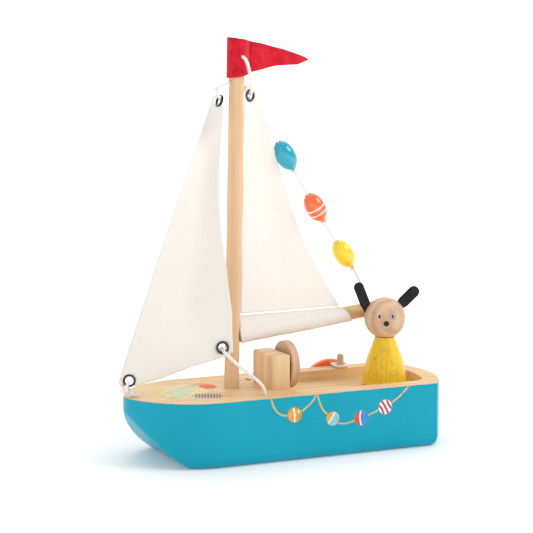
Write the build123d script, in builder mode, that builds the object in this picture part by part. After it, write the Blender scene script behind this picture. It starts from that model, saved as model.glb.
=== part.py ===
"""Toy sailing boat: solid wooden hull, turning mast with boom, two cotton sails and a peg figure.

Millimetres. Origin: middle of the hull's flat bottom. -Y is the bow, +X is port, +Z is up.
"""
from build123d import *
from math import cos, pi, radians, sin, sqrt, tan
import os

os.makedirs("parts", exist_ok=True)

# ---------------------------------------------------------------- driving dimensions
HULL_HEIGHT = 52.5                   # flat bottom to deck
HALF_BEAM = 51.0
STERN_Y = 135.0                      # middle of the curved transom
TRANSOM_RADIUS = 80.0
STERN_CORNER = 22.0
SHOULDER_Y = -112.8                  # where the bow's straight flanks would meet the sides
BOW_FLANK_ANGLE = 24.0               # flanks against the beam
SHOULDER_RADIUS = 67.0
STEM_RADIUS = 20.0
STEM_BREAK_Z = 42.4                  # the stem is upright above this height
FOREFOOT_Y = -95.0                   # where the curved forefoot meets the flat bottom
LOWER_ROUND = 8.0                    # rounding of all the hull's lower edges
DECK_EDGE = 0.8

COCKPIT_HALF = 35.8
COCKPIT_FRONT = -2.0
COCKPIT_AFT = 119.4
COCKPIT_AFT_CORNER_Y = 112.3         # where the curved aft wall would meet the side walls
COCKPIT_DEPTH = 8.3
COCKPIT_FRONT_CORNER = 8.0
COCKPIT_STERN_CORNER = 13.0
FLOOR_Z = HULL_HEIGHT - COCKPIT_DEPTH

MAST_Y = -42.8
MAST_RADIUS = 6.0
MAST_RAKE = 1.15                     # degrees aft
RIG_TURN = 10.0                      # degrees the mast is turned, boom towards starboard
SOCKET_DEPTH = 30.0
RUN_CLEARANCE = 0.05                 # radial clearance of every turning fit
END_GAP = 0.4                        # between a turning part's end and the bottom of its bore
MAST_TOP = 275.0                     # above the deck, along the mast
HALYARD_HOLE_UP = 263.3              # athwart hole for the mainsail's halyard
JIB_HOLE_UP = 243.3                  # fore hole for the jib's halyard

BOOM_RADIUS = 6.0
BOOM_START = 6.6                     # from the mast's axis
BOOM_LENGTH = 138.4
BOOM_UP = 42.5                       # boom's axis above the deck, at its mast end
BOOM_RISE = 0.0853                   # rise of the boom per millimetre aft
BOOM_DOWEL_RADIUS = 2.5
GARLAND_HOLE_AFT = 138.3

CLOTH = 0.8                          # cotton canvas
FELT = 1.9
SLEEVE_RADIUS = 8.0                  # pennant's felt round the mast
CORD_RADIUS = 1.4
GARLAND_RADIUS = 1.2
KNOT_RADIUS = 2.75
BEAD_LENGTH = 26.0
BEAD_RADIUS = 8.4
BEAD_END_RADIUS = 3.2
BEAD_BORE = 1.6
BEAD_AT = {"bead_teal": 64.1, "bead_orange": 116.5, "bead_yellow": 165.6}   # along the cord

EYELET_FLANGE = 5.25
EYELET_BORE = 3.15
EYELET_BARREL = 3.6
EYELET_RIM = 1.0
SAIL_EYELET = (12.8, 232.6)

BLOCK_X = 6.0
BLOCK_WIDTH = 37.0
BLOCK_FRONT = -19.0
BLOCK_AFT = -2.0
BLOCK_HEIGHT = 27.8
BLOCK_ROUND = 2.2
BLOCK_DOWEL_OFFSET = 11.0
DOWEL_RADIUS = 3.0
WHEEL_RADIUS = 19.2
WHEEL_FRONT = -0.8
WHEEL_THICK = 7.0
WHEEL_Z = 69.1
AXLE_RADIUS = 2.8
AXLE_HEAD_RADIUS = 5.0

PEG_X = -40.0
PEG_Y = 74.2
PEG_RADIUS = 2.9
PEG_TOP = 64.4
BUOY_RADIUS = 27.0
BUOY_BORE = 10.5
BUOY_Y = 71.0
BUOY_Z = 30.7
BUOY_INNER_X = -51.4                 # face towards the hull's side
BUOY_THICK = 6.0
BUOY_HOLE_Y = 72.0
BUOY_HOLE_Z = 54.0
BUOY_HOLE_RADIUS = 2.3
BUOY_KNOT_RADIUS = 3.2
LOOP_RADIUS = 4.6                    # cord's loop round the peg
LOOP_Z = 54.25

FIGURE_X = 0.8
FIGURE_Y = 94.6
FIGURE_BASE_Z = FLOOR_Z + 0.1
NECK_Z = 84.1
HEAD_RADIUS = 17.1
HEAD_Z = 99.7
HEAD_CUT_Z = 84.5
NECK_DOWEL_RADIUS = 4.0
FACE_AZIMUTH = 70.0                  # degrees from the bow towards port
EAR_WIDTH = 7.6
EAR_THICK = 2.6

# ---------------------------------------------------------------- frames
MAST_FOOT = Vector(0, MAST_Y, HULL_HEIGHT)
UP = Vector(0, sin(radians(MAST_RAKE)), cos(radians(MAST_RAKE)))
LEVEL_AFT = Vector(-sin(radians(RIG_TURN)), cos(radians(RIG_TURN)), 0)
AFT = (LEVEL_AFT - UP * LEVEL_AFT.dot(UP)).normalized()
RIG_PORT = AFT.cross(UP)
SAIL_PLANE = Plane(origin=MAST_FOOT, x_dir=AFT, z_dir=RIG_PORT)
MAST_PLANE = Plane(origin=MAST_FOOT, x_dir=AFT, z_dir=UP)


def rig_point(aft, up, port=0.0):
    """A point from its distances aft of the mast's axis, up the mast and to the rig's port side."""
    return MAST_FOOT + AFT * aft + UP * up + RIG_PORT * port


BOOM_DIR = (AFT + UP * BOOM_RISE).normalized()
BOOM_PLANE = Plane(origin=rig_point(BOOM_START, BOOM_UP), x_dir=RIG_PORT, z_dir=BOOM_DIR)

JIB_TACK = Vector(0, -129.6, 65.3)   # centres of the jib's three eyelets
JIB_HEAD = Vector(0, -52.4, 281.2)
JIB_CLEW = Vector(22.0, -59.8, 89.8)
LUFF_DIR = (JIB_HEAD - JIB_TACK).normalized()
TO_CLEW = JIB_CLEW - JIB_TACK
JIB_CHORD = (TO_CLEW - LUFF_DIR * TO_CLEW.dot(LUFF_DIR)).normalized()
JIB_PORT = JIB_CHORD.cross(LUFF_DIR)
JIB_PLANE = Plane(origin=JIB_TACK, x_dir=JIB_CHORD, z_dir=JIB_PORT)
JIB_EYELETS = [JIB_PLANE.to_local_coords(p) for p in (JIB_TACK, JIB_HEAD, JIB_CLEW)]


def jib_point(eyelet, chord, luff, port):
    """A point near one of the jib's eyelets, in the jib's own directions."""
    return eyelet + JIB_CHORD * chord + LUFF_DIR * luff + JIB_PORT * port


SHEET_HOLE = (37.4, -29.9)
TACK_HOLE = (0.0, -126.5)
SPARE_SLOT = (-25.0, -17.5)
HOLE_RADIUS = 2.0
HOLE_DEPTH = 6.0

FACE_DIR = Vector(sin(radians(FACE_AZIMUTH)), -cos(radians(FACE_AZIMUTH)), 0)
FACE_SIDE = Vector(cos(radians(FACE_AZIMUTH)), sin(radians(FACE_AZIMUTH)), 0)
HEAD_CENTRE = Vector(FIGURE_X, FIGURE_Y, HEAD_Z)
EAR_PLANE = Plane(origin=HEAD_CENTRE, x_dir=FACE_SIDE, z_dir=FACE_DIR)
# centres of each ear's two rounded ends, across and above the head's centre
LEFT_EAR = ((-13.0, 2.4), (-21.7, 25.8))
RIGHT_EAR = ((8.4, 6.0), (24.2, 21.8))


# ---------------------------------------------------------------- shared helpers
def bend_radii(points):
    """Arc radius at each corner of a cord's route: as large as its two runs allow."""
    radii = []
    for before, corner, after in zip(points, points[1:], points[2:]):
        run_in = Vector(corner) - Vector(before)
        run_out = Vector(after) - Vector(corner)
        turn = radians(run_in.get_angle(run_out))
        radii.append(0.45 * min(run_in.length, run_out.length) / tan(turn / 2))
    return radii


def report_cord(label, solid, length, radius, radii):
    """Prints a cord's length, its arc radii and its volume against section times length."""
    ratio = solid.volume / (pi * radius**2 * length)
    arcs = " ".join(f"{r:.1f}" for r in radii)
    print(f"{label}: length {length:.1f}, volume ratio {ratio:.4f}, arcs {arcs}")


def start_plane(line):
    """Plane square to a cord's route at its first end."""
    return Plane(origin=line @ 0, z_dir=line % 0)


def finish(solid, label):
    """Labels a finished piece and writes its STEP file."""
    solid.label = label
    export_step(solid, f"parts/{label}.step")


# ---------------------------------------------------------------- hull
with BuildPart() as hull:
    with BuildSketch():
        with BuildLine():
            transom_end = STERN_Y - TRANSOM_RADIUS + sqrt(TRANSOM_RADIUS**2 - HALF_BEAM**2)
            stem_corner = SHOULDER_Y - HALF_BEAM * tan(radians(BOW_FLANK_ANGLE))
            Polyline(
                (HALF_BEAM, transom_end), (HALF_BEAM, SHOULDER_Y), (0, stem_corner),
                (-HALF_BEAM, SHOULDER_Y), (-HALF_BEAM, transom_end),
            )
            ThreePointArc((HALF_BEAM, transom_end), (0, STERN_Y), (-HALF_BEAM, transom_end))
        make_face()
        fillet(vertices().sort_by(Axis.Y)[0], STEM_RADIUS)
        side_corners = vertices().filter_by(lambda v: abs(v.X) > HALF_BEAM - 0.01)
        fillet(side_corners.filter_by(lambda v: v.Y < 0), SHOULDER_RADIUS)
        fillet(side_corners.filter_by(lambda v: v.Y > 0), STERN_CORNER)
    extrude(amount=HULL_HEIGHT)
    # side profile: upright stem, curved forefoot and flat bottom
    with BuildSketch(Plane.YZ):
        with BuildLine():
            ThreePointArc((-134.6, STEM_BREAK_Z), (-117, 18), (FOREFOOT_Y, 0))
            Polyline((FOREFOOT_Y, 0), (140, 0), (140, 60), (-134.6, 60), (-134.6, STEM_BREAK_Z))
        make_face()
    extrude(amount=HALF_BEAM + 5, both=True, mode=Mode.INTERSECT)
    fillet(edges().filter_by(lambda e: e.bounding_box().max.Z < STEM_BREAK_Z), LOWER_ROUND)
    fillet(faces().sort_by(Axis.Z)[-1].outer_wire().edges(), DECK_EDGE)
    # cockpit
    with BuildSketch(Plane.XY.offset(FLOOR_Z)):
        with BuildLine():
            Polyline(
                (COCKPIT_HALF, COCKPIT_AFT_CORNER_Y), (COCKPIT_HALF, COCKPIT_FRONT),
                (-COCKPIT_HALF, COCKPIT_FRONT), (-COCKPIT_HALF, COCKPIT_AFT_CORNER_Y),
            )
            ThreePointArc(
                (COCKPIT_HALF, COCKPIT_AFT_CORNER_Y), (0, COCKPIT_AFT),
                (-COCKPIT_HALF, COCKPIT_AFT_CORNER_Y),
            )
        make_face()
        fillet(vertices().sort_by(Axis.Y)[:2], COCKPIT_FRONT_CORNER)
        fillet(vertices().sort_by(Axis.Y)[-2:], COCKPIT_STERN_CORNER)
    extrude(amount=COCKPIT_DEPTH + 5, mode=Mode.SUBTRACT)
    # raked socket for the mast
    with BuildSketch(MAST_PLANE.offset(-SOCKET_DEPTH)):
        Circle(MAST_RADIUS + RUN_CLEARANCE)
    extrude(amount=SOCKET_DEPTH + 5, mode=Mode.SUBTRACT)
    # cord holes and the spare slot in the fore deck
    with BuildSketch(Plane.XY.offset(HULL_HEIGHT - HOLE_DEPTH)):
        with Locations(SHEET_HOLE, TACK_HOLE):
            Circle(HOLE_RADIUS)
        with Locations(SPARE_SLOT):
            SlotOverall(9.0, 3.4)
    extrude(amount=HOLE_DEPTH + 5, mode=Mode.SUBTRACT)
    # bores for the block's dowels and the lifebuoy's peg
    with BuildSketch(Plane.XY.offset(HULL_HEIGHT - 9)):
        with Locations(*[(BLOCK_X + s * BLOCK_DOWEL_OFFSET, -10.5) for s in (-1, 1)]):
            Circle(DOWEL_RADIUS)
    extrude(amount=15, mode=Mode.SUBTRACT)
    with BuildSketch(Plane.XY.offset(HULL_HEIGHT - 12)):
        with Locations((PEG_X, PEG_Y)):
            Circle(PEG_RADIUS)
    extrude(amount=20, mode=Mode.SUBTRACT)
finish(hull.part, "hull")

# ---------------------------------------------------------------- helm
with BuildPart() as helm_dowels:
    with BuildSketch(Plane.XY.offset(HULL_HEIGHT - 9)):
        with Locations(*[(BLOCK_X + s * BLOCK_DOWEL_OFFSET, -10.5) for s in (-1, 1)]):
            Circle(DOWEL_RADIUS)
    extrude(amount=18)
finish(helm_dowels.part, "helm_dowels")

AXLE_PLANE = Plane(origin=(BLOCK_X, 0, WHEEL_Z), x_dir=(1, 0, 0), z_dir=(0, 1, 0))
with BuildPart() as helm_block:
    with BuildSketch(Plane.XY.offset(HULL_HEIGHT)):
        with Locations((BLOCK_X, (BLOCK_FRONT + BLOCK_AFT) / 2)):
            Rectangle(BLOCK_WIDTH, BLOCK_AFT - BLOCK_FRONT)
    extrude(amount=BLOCK_HEIGHT)
    fillet(edges().filter_by(Axis.Z) + edges().group_by(Axis.Z)[-1], BLOCK_ROUND)
    add(helm_dowels.part, mode=Mode.SUBTRACT)
    with BuildSketch(AXLE_PLANE.offset(-13)):
        Circle(AXLE_RADIUS)
    extrude(amount=12, mode=Mode.SUBTRACT)
finish(helm_block.part, "helm_block")

with BuildPart() as helm_axle:
    wheel_aft = WHEEL_FRONT + WHEEL_THICK
    with BuildSketch(AXLE_PLANE.offset(-13)):
        Circle(AXLE_RADIUS)
    extrude(amount=13 + wheel_aft + 1)
    with BuildSketch(AXLE_PLANE.offset(BLOCK_AFT)):
        Circle(4.5)
    extrude(amount=WHEEL_FRONT - BLOCK_AFT - 0.35)
    with BuildSketch(AXLE_PLANE.offset(wheel_aft + 0.35)):
        Circle(AXLE_HEAD_RADIUS)
    extrude(amount=2.6)
    fillet(edges().sort_by(Axis.Y)[-1], 2.0)
finish(helm_axle.part, "helm_axle")

with BuildPart() as helm_wheel:
    with BuildSketch(AXLE_PLANE.offset(WHEEL_FRONT)):
        Circle(WHEEL_RADIUS)
    extrude(amount=WHEEL_THICK)
    fillet(edges(), 1.1)
    with BuildSketch(AXLE_PLANE.offset(WHEEL_FRONT - 1)):
        Circle(AXLE_RADIUS + RUN_CLEARANCE)
    extrude(amount=WHEEL_THICK + 2, mode=Mode.SUBTRACT)
finish(helm_wheel.part, "helm_wheel")

# ---------------------------------------------------------------- boom and mast
with BuildPart() as boom_dowel:
    with BuildSketch(BOOM_PLANE.offset(-9.6)):
        Circle(BOOM_DOWEL_RADIUS)
    extrude(amount=24)
finish(boom_dowel.part, "boom_dowel")

with BuildPart() as mast:
    with BuildSketch(MAST_PLANE.offset(-SOCKET_DEPTH + END_GAP)):
        Circle(MAST_RADIUS)
    extrude(amount=MAST_TOP + SOCKET_DEPTH - END_GAP)
    fillet(edges().sort_by(Axis.Z)[-1], 1.0)
    with BuildSketch(Plane(origin=rig_point(0, HALYARD_HOLE_UP), x_dir=AFT, z_dir=RIG_PORT)):
        Circle(CORD_RADIUS)
    extrude(amount=10, both=True, mode=Mode.SUBTRACT)
    with BuildSketch(Plane(origin=rig_point(0, JIB_HOLE_UP), x_dir=RIG_PORT, z_dir=AFT)):
        Circle(1.8)
    extrude(amount=-10, mode=Mode.SUBTRACT)
    add(boom_dowel.part, mode=Mode.SUBTRACT)
finish(mast.part, "mast")

with BuildPart() as boom:
    with BuildSketch(BOOM_PLANE):
        Circle(BOOM_RADIUS)
    extrude(amount=BOOM_LENGTH)
    fillet(edges().sort_by(Axis(BOOM_PLANE.origin, BOOM_DIR))[-1], 0.9)
    add(boom_dowel.part, mode=Mode.SUBTRACT)
    with BuildSketch(Plane(origin=rig_point(GARLAND_HOLE_AFT, 30), x_dir=AFT, z_dir=UP)):
        Circle(GARLAND_RADIUS)
    extrude(amount=50, mode=Mode.SUBTRACT)
finish(boom.part, "boom")

# ---------------------------------------------------------------- mainsail
with BuildPart() as mainsail:
    with BuildSketch(SAIL_PLANE):
        with BuildLine():
            Polyline((0, BOOM_UP), (0, 245), (125, 245), (125, BOOM_UP + 118 * BOOM_RISE), close=True)
        make_face()
    extrude(amount=CLOTH / 2, both=True)
    with BuildSketch(BOOM_PLANE):
        Circle(BOOM_RADIUS + CLOTH)
    extrude(amount=120)
    # outline of the sail seen from the side, hem round the boom included
    with BuildSketch(SAIL_PLANE):
        with BuildLine():
            Polyline(
                (7, 52), (7, 236), (9.5, 241), (15.6, 241), (17.8, 237), (25.8, 221),
                (38.6, 184), (59.6, 139), (82, 93), (102, 63), (108.5, 58), (117.2, 44.6),
                (117.2, 30), (10.4, 30), (10.2, 49.5), close=True,
            )
        make_face()
    extrude(amount=12, both=True, mode=Mode.INTERSECT)
    with BuildSketch(BOOM_PLANE):
        Circle(BOOM_RADIUS)
    extrude(amount=125, mode=Mode.SUBTRACT)
    with BuildSketch(SAIL_PLANE):
        with Locations(SAIL_EYELET):
            Circle(EYELET_BARREL)
    extrude(amount=5, both=True, mode=Mode.SUBTRACT)
finish(mainsail.part, "mainsail")

with BuildPart() as mainsail_eyelet:
    with BuildSketch(SAIL_PLANE.offset(CLOTH / 2)):
        with Locations(SAIL_EYELET):
            Circle(EYELET_FLANGE)
    extrude(amount=EYELET_RIM)
    with BuildSketch(SAIL_PLANE.offset(CLOTH / 2)):
        with Locations(SAIL_EYELET):
            Circle(EYELET_BARREL)
    extrude(amount=-CLOTH - EYELET_RIM)
    with BuildSketch(SAIL_PLANE):
        with Locations(SAIL_EYELET):
            Circle(EYELET_BORE)
    extrude(amount=5, both=True, mode=Mode.SUBTRACT)
finish(mainsail_eyelet.part, "mainsail_eyelet")

with BuildPart() as mainsail_washer:
    with BuildSketch(SAIL_PLANE.offset(-CLOTH / 2)):
        with Locations(SAIL_EYELET):
            Circle(EYELET_FLANGE)
            Circle(EYELET_BARREL, mode=Mode.SUBTRACT)
    extrude(amount=-EYELET_RIM)
finish(mainsail_washer.part, "mainsail_washer")

# ---------------------------------------------------------------- jib
with BuildPart() as jib:
    with BuildSketch(JIB_PLANE):
        with BuildLine():
            Polyline(
                (-5.1, 233), (0, 234.7), (1.1, 231.3), (8.3, 209), (17.3, 174.2),
                (25.3, 150.5), (41.6, 114.7), (60.1, 75.1), (70.4, 46.2), (65.6, 40.3),
                (43.1, 25.3), (6.8, -2.2), (-5.9, -6.2), (-7.8, -3.1), (-8, 55.4),
                (-7.1, 140), close=True,
            )
        make_face()
        with Locations(*[(e.X, e.Y) for e in JIB_EYELETS]):
            Circle(EYELET_BARREL, mode=Mode.SUBTRACT)
    extrude(amount=CLOTH / 2, both=True)
finish(jib.part, "jib")

with BuildPart() as jib_eyelets:
    with BuildSketch(JIB_PLANE.offset(CLOTH / 2)):
        with Locations(*[(e.X, e.Y) for e in JIB_EYELETS]):
            Circle(EYELET_FLANGE)
    extrude(amount=EYELET_RIM)
    with BuildSketch(JIB_PLANE.offset(CLOTH / 2)):
        with Locations(*[(e.X, e.Y) for e in JIB_EYELETS]):
            Circle(EYELET_BARREL)
    extrude(amount=-CLOTH - EYELET_RIM)
    with BuildSketch(JIB_PLANE):
        with Locations(*[(e.X, e.Y) for e in JIB_EYELETS]):
            Circle(EYELET_BORE)
    extrude(amount=5, both=True, mode=Mode.SUBTRACT)
finish(jib_eyelets.part, "jib_eyelets")

with BuildPart() as jib_washers:
    with BuildSketch(JIB_PLANE.offset(-CLOTH / 2)):
        with Locations(*[(e.X, e.Y) for e in JIB_EYELETS]):
            Circle(EYELET_FLANGE)
            Circle(EYELET_BARREL, mode=Mode.SUBTRACT)
    extrude(amount=-EYELET_RIM)
finish(jib_washers.part, "jib_washers")

# ---------------------------------------------------------------- pennant
with BuildPart() as pennant:
    with BuildSketch(MAST_PLANE.offset(240)):
        Circle(SLEEVE_RADIUS)
    extrude(amount=50)
    with BuildSketch(SAIL_PLANE):
        with Locations((45, 262)):
            Rectangle(80, 60)
    extrude(amount=FELT / 2, both=True)
    # outline of the pennant seen from the side
    with BuildSketch(SAIL_PLANE):
        with BuildLine():
            Polyline(
                (-9, 278.2), (7.3, 275.9), (26.4, 272.9), (52.5, 266.7), (67.5, 262.2),
                (68.9, 260.6), (57.7, 256.8), (38.3, 256.1), (13.5, 251), (-9, 246.3),
                close=True,
            )
        make_face()
    extrude(amount=12, both=True, mode=Mode.INTERSECT)
    with BuildSketch(MAST_PLANE.offset(230)):
        Circle(MAST_RADIUS)
    extrude(amount=60, mode=Mode.SUBTRACT)
    with BuildSketch(Plane(origin=rig_point(0, HALYARD_HOLE_UP), x_dir=AFT, z_dir=RIG_PORT)):
        Circle(2.0)
    extrude(amount=12, both=True, mode=Mode.SUBTRACT)
finish(pennant.part, "pennant")

# ---------------------------------------------------------------- cords of the rig
# one half of the mainsail's halyard: mast hole, down to the sail's eyelet; the other is its mirror
HALYARD_ROUTE = [
    rig_point(0, HALYARD_HOLE_UP), rig_point(0, HALYARD_HOLE_UP, 11.0),
    rig_point(3.2, 256.0, 12.8), rig_point(8.4, 245.0, 8.8), rig_point(12.8, 233.8, 3.4),
    rig_point(12.8, 233.8),
]
HALYARD_RADII = bend_radii(HALYARD_ROUTE)
with BuildPart() as main_halyard:
    with BuildLine():
        halyard_line = FilletPolyline(*HALYARD_ROUTE, radius=HALYARD_RADII)
    with BuildSketch(start_plane(halyard_line)):
        Circle(CORD_RADIUS)
    sweep()
    mirror(about=SAIL_PLANE)
report_cord("main_halyard", main_halyard.part, 2 * halyard_line.length, CORD_RADIUS,
            HALYARD_RADII)
finish(main_halyard.part, "main_halyard")

GARLAND_ROUTE = [
    rig_point(12.8, 230.7, 0.6), rig_point(12.8, 230.7, -4.6), rig_point(26.0, 219.4, -3.8),
    rig_point(65.0, 162.0, -2.0), rig_point(94.4, 121.0, -1.2),
    rig_point(GARLAND_HOLE_AFT, 63.6), rig_point(GARLAND_HOLE_AFT, 41.4),
]
GARLAND_RADII = bend_radii(GARLAND_ROUTE)
GARLAND_RADII[-1] = 9.0              # the last bend ends above the boom's hole
with BuildPart() as garland_cord:
    with BuildLine():
        garland_line = FilletPolyline(*GARLAND_ROUTE, radius=GARLAND_RADII)
    with BuildSketch(start_plane(garland_line)):
        Circle(GARLAND_RADIUS)
    sweep()
    report_cord("garland_cord", garland_cord.part, garland_line.length, GARLAND_RADIUS,
                GARLAND_RADII)
    below_beads = [d + BEAD_LENGTH / 2 + 0.4 + KNOT_RADIUS for d in BEAD_AT.values()]
    for knot_at in [9.4, *below_beads, garland_line.length - 3.4]:
        with Locations(garland_line.position_at(knot_at, position_mode=PositionMode.LENGTH)):
            Sphere(KNOT_RADIUS)
finish(garland_cord.part, "garland_cord")


def garland_plane(distance):
    """Plane square to the garland's cord at a distance along it."""
    at = garland_line.position_at(distance, position_mode=PositionMode.LENGTH)
    along = garland_line.tangent_at(distance, position_mode=PositionMode.LENGTH)
    return Plane(origin=at, x_dir=along.cross(RIG_PORT).cross(along), z_dir=along)


for bead_name, bead_at in BEAD_AT.items():
    bead_plane = garland_plane(bead_at)
    # half a bead's section, turned round the cord
    section_plane = Plane(origin=bead_plane.origin, x_dir=bead_plane.x_dir,
                          z_dir=bead_plane.x_dir.cross(bead_plane.z_dir))
    with BuildPart() as bead:
        with BuildSketch(section_plane):
            with BuildLine():
                half = BEAD_LENGTH / 2
                ThreePointArc((BEAD_END_RADIUS, -half), (BEAD_RADIUS, 0), (BEAD_END_RADIUS, half))
                Polyline((BEAD_END_RADIUS, half), (BEAD_BORE, half), (BEAD_BORE, -half),
                         (BEAD_END_RADIUS, -half))
            make_face()
        revolve(axis=Axis(bead_plane.origin, bead_plane.z_dir))
        fillet(edges().filter_by(GeomType.CIRCLE).filter_by(lambda e: e.radius > 3), 0.8)
    print(bead_name, "centre", bead_plane.origin, "axis", bead_plane.z_dir)
    finish(bead.part, bead_name)

# ---------------------------------------------------------------- cords of the jib
JIB_HALYARD_ROUTE = [
    rig_point(-7.5, JIB_HOLE_UP), jib_point(JIB_HEAD, -4.3, 7.1, 2.2),
    jib_point(JIB_HEAD, -2.6, 4.4, 4.8), jib_point(JIB_HEAD, 0, 1.76, 3.8),
    jib_point(JIB_HEAD, 0, 1.76, -3.8), jib_point(JIB_HEAD, -2.6, 4.4, -4.8),
    jib_point(JIB_HEAD, -4.2, 7.3, -0.9),
]
JIB_HALYARD_RADII = bend_radii(JIB_HALYARD_ROUTE)
with BuildPart() as jib_halyard:
    with BuildLine():
        jib_halyard_line = FilletPolyline(*JIB_HALYARD_ROUTE, radius=JIB_HALYARD_RADII)
    with BuildSketch(start_plane(jib_halyard_line)):
        Circle(CORD_RADIUS)
    sweep()
report_cord("jib_halyard", jib_halyard.part, jib_halyard_line.length, CORD_RADIUS,
            JIB_HALYARD_RADII)
finish(jib_halyard.part, "jib_halyard")

TACK_ROUTE = [
    Vector(*TACK_HOLE, HULL_HEIGHT - HOLE_DEPTH), Vector(*TACK_HOLE, HULL_HEIGHT + 3.6),
    jib_point(JIB_TACK, -0.6, -6.8, -3.8), jib_point(JIB_TACK, 0, -1.76, -3.8),
    jib_point(JIB_TACK, 0, -1.76, 3.8), jib_point(JIB_TACK, -1.6, -7.2, 3.4),
    Vector(1.6, -131.4, 54.9),
]
TACK_RADII = bend_radii(TACK_ROUTE)
with BuildPart() as jib_tack_cord:
    with BuildLine():
        tack_line = FilletPolyline(*TACK_ROUTE, radius=TACK_RADII)
    with BuildSketch(start_plane(tack_line)):
        Circle(CORD_RADIUS)
    sweep()
report_cord("jib_tack_cord", jib_tack_cord.part, tack_line.length, CORD_RADIUS, TACK_RADII)
finish(jib_tack_cord.part, "jib_tack_cord")

SHEET_ROUTE = [
    jib_point(JIB_CLEW, 0, -1.76, -5.6), jib_point(JIB_CLEW, 0, -1.76, 4.4),
    jib_point(JIB_CLEW, 12.0, -8.0, 4.0), Vector(35.8, -35.5, 64.0),
    Vector(*SHEET_HOLE, HULL_HEIGHT + 4.2), Vector(*SHEET_HOLE, HULL_HEIGHT - HOLE_DEPTH),
]
SHEET_RADII = bend_radii(SHEET_ROUTE)
with BuildPart() as jib_sheet:
    with BuildLine():
        sheet_line = FilletPolyline(*SHEET_ROUTE, radius=SHEET_RADII)
    with BuildSketch(start_plane(sheet_line)):
        Circle(CORD_RADIUS)
    sweep()
report_cord("jib_sheet", jib_sheet.part, sheet_line.length, CORD_RADIUS, SHEET_RADII)
finish(jib_sheet.part, "jib_sheet")

with BuildPart() as jib_knots:
    with Locations(
        jib_point(JIB_HEAD, -4.3, 7.4, 1.0), jib_point(JIB_TACK, -1.6, -7.6, 3.2),
        jib_point(JIB_CLEW, 0, -1.76, -4.2),
    ):
        Sphere(KNOT_RADIUS)
finish(jib_knots.part, "jib_knots")

# ---------------------------------------------------------------- lifebuoy
with BuildPart() as lifebuoy_peg:
    with BuildSketch(Plane.XY.offset(HULL_HEIGHT - 12)):
        with Locations((PEG_X, PEG_Y)):
            Circle(PEG_RADIUS)
    extrude(amount=PEG_TOP - HULL_HEIGHT + 12)
    fillet(edges().sort_by(Axis.Z)[-1], 2.4)
finish(lifebuoy_peg.part, "lifebuoy_peg")

with BuildPart() as lifebuoy:
    with BuildSketch(Plane.YZ.offset(BUOY_INNER_X)):
        with Locations((BUOY_Y, BUOY_Z)):
            Circle(BUOY_RADIUS)
            Circle(BUOY_BORE, mode=Mode.SUBTRACT)
    extrude(amount=-BUOY_THICK)
    fillet(edges(), 1.4)
    with BuildSketch(Plane.YZ.offset(BUOY_INNER_X + 1)):
        with Locations((BUOY_HOLE_Y, BUOY_HOLE_Z)):
            Circle(BUOY_HOLE_RADIUS)
    extrude(amount=-BUOY_THICK - 2, mode=Mode.SUBTRACT)
finish(lifebuoy.part, "lifebuoy")

with BuildPart() as lifebuoy_cord:
    with BuildSketch(Plane(origin=(PEG_X - LOOP_RADIUS, PEG_Y, LOOP_Z), z_dir=(0, 1, 0))):
        Circle(CORD_RADIUS)
    revolve(axis=Axis((PEG_X, PEG_Y, LOOP_Z), (0, 0, 1)))
    with BuildSketch(Plane.YZ.offset(-50.6)):
        with Locations((BUOY_HOLE_Y, LOOP_Z)):
            Circle(CORD_RADIUS)
    extrude(amount=50.6 + PEG_X - LOOP_RADIUS)
strand = 50.6 + PEG_X - LOOP_RADIUS
report_cord("lifebuoy_cord", lifebuoy_cord.part, 2 * pi * LOOP_RADIUS + strand, CORD_RADIUS,
            [LOOP_RADIUS])
finish(lifebuoy_cord.part, "lifebuoy_cord")

# short strand through the disc and a knot that bears on its outer face with a flat side
KNOT_PLANE = Plane(origin=(BUOY_INNER_X - BUOY_THICK, BUOY_HOLE_Y, BUOY_HOLE_Z), z_dir=(0, 0, 1))
with BuildPart() as lifebuoy_knot:
    with BuildSketch(KNOT_PLANE):
        with BuildLine():
            flat_radius = sqrt(BUOY_KNOT_RADIUS**2 - 1.6**2)
            Polyline((-1.6 - BUOY_KNOT_RADIUS, 0), (5, 0), (5, CORD_RADIUS), (0, CORD_RADIUS),
                     (0, flat_radius))
            ThreePointArc((0, flat_radius), (-1.6, BUOY_KNOT_RADIUS), (-1.6 - BUOY_KNOT_RADIUS, 0))
        make_face()
    revolve(axis=Axis(KNOT_PLANE.origin, (1, 0, 0)))
finish(lifebuoy_knot.part, "lifebuoy_knot")

# ---------------------------------------------------------------- captain
FIGURE_AXIS = Axis((FIGURE_X, FIGURE_Y, 0), (0, 0, 1))
FIGURE_SECTION = Plane(origin=(FIGURE_X, FIGURE_Y, 0), x_dir=(1, 0, 0), z_dir=(0, -1, 0))
with BuildPart() as captain_neck_dowel:
    with BuildSketch(Plane.XY.offset(72)):
        with Locations((FIGURE_X, FIGURE_Y)):
            Circle(NECK_DOWEL_RADIUS)
    extrude(amount=22)
finish(captain_neck_dowel.part, "captain_neck_dowel")

with BuildPart() as captain_body:
    with BuildSketch(FIGURE_SECTION):
        with BuildLine():
            Polyline((0, NECK_Z), (0, FIGURE_BASE_Z), (17.4, FIGURE_BASE_Z),
                     (18.2, FIGURE_BASE_Z + 0.8))
            Spline(
                (18.2, FIGURE_BASE_Z + 0.8), (18.0, 49), (17.3, 55), (16.2, 60.8),
                (14.8, 66), (12.4, 72.6), (9.8, 79.5), (8.2, NECK_Z),
            )
            Line((8.2, NECK_Z), (0, NECK_Z))
        make_face()
    revolve(axis=FIGURE_AXIS)
    add(captain_neck_dowel.part, mode=Mode.SUBTRACT)
finish(captain_body.part, "captain_body")


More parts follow.
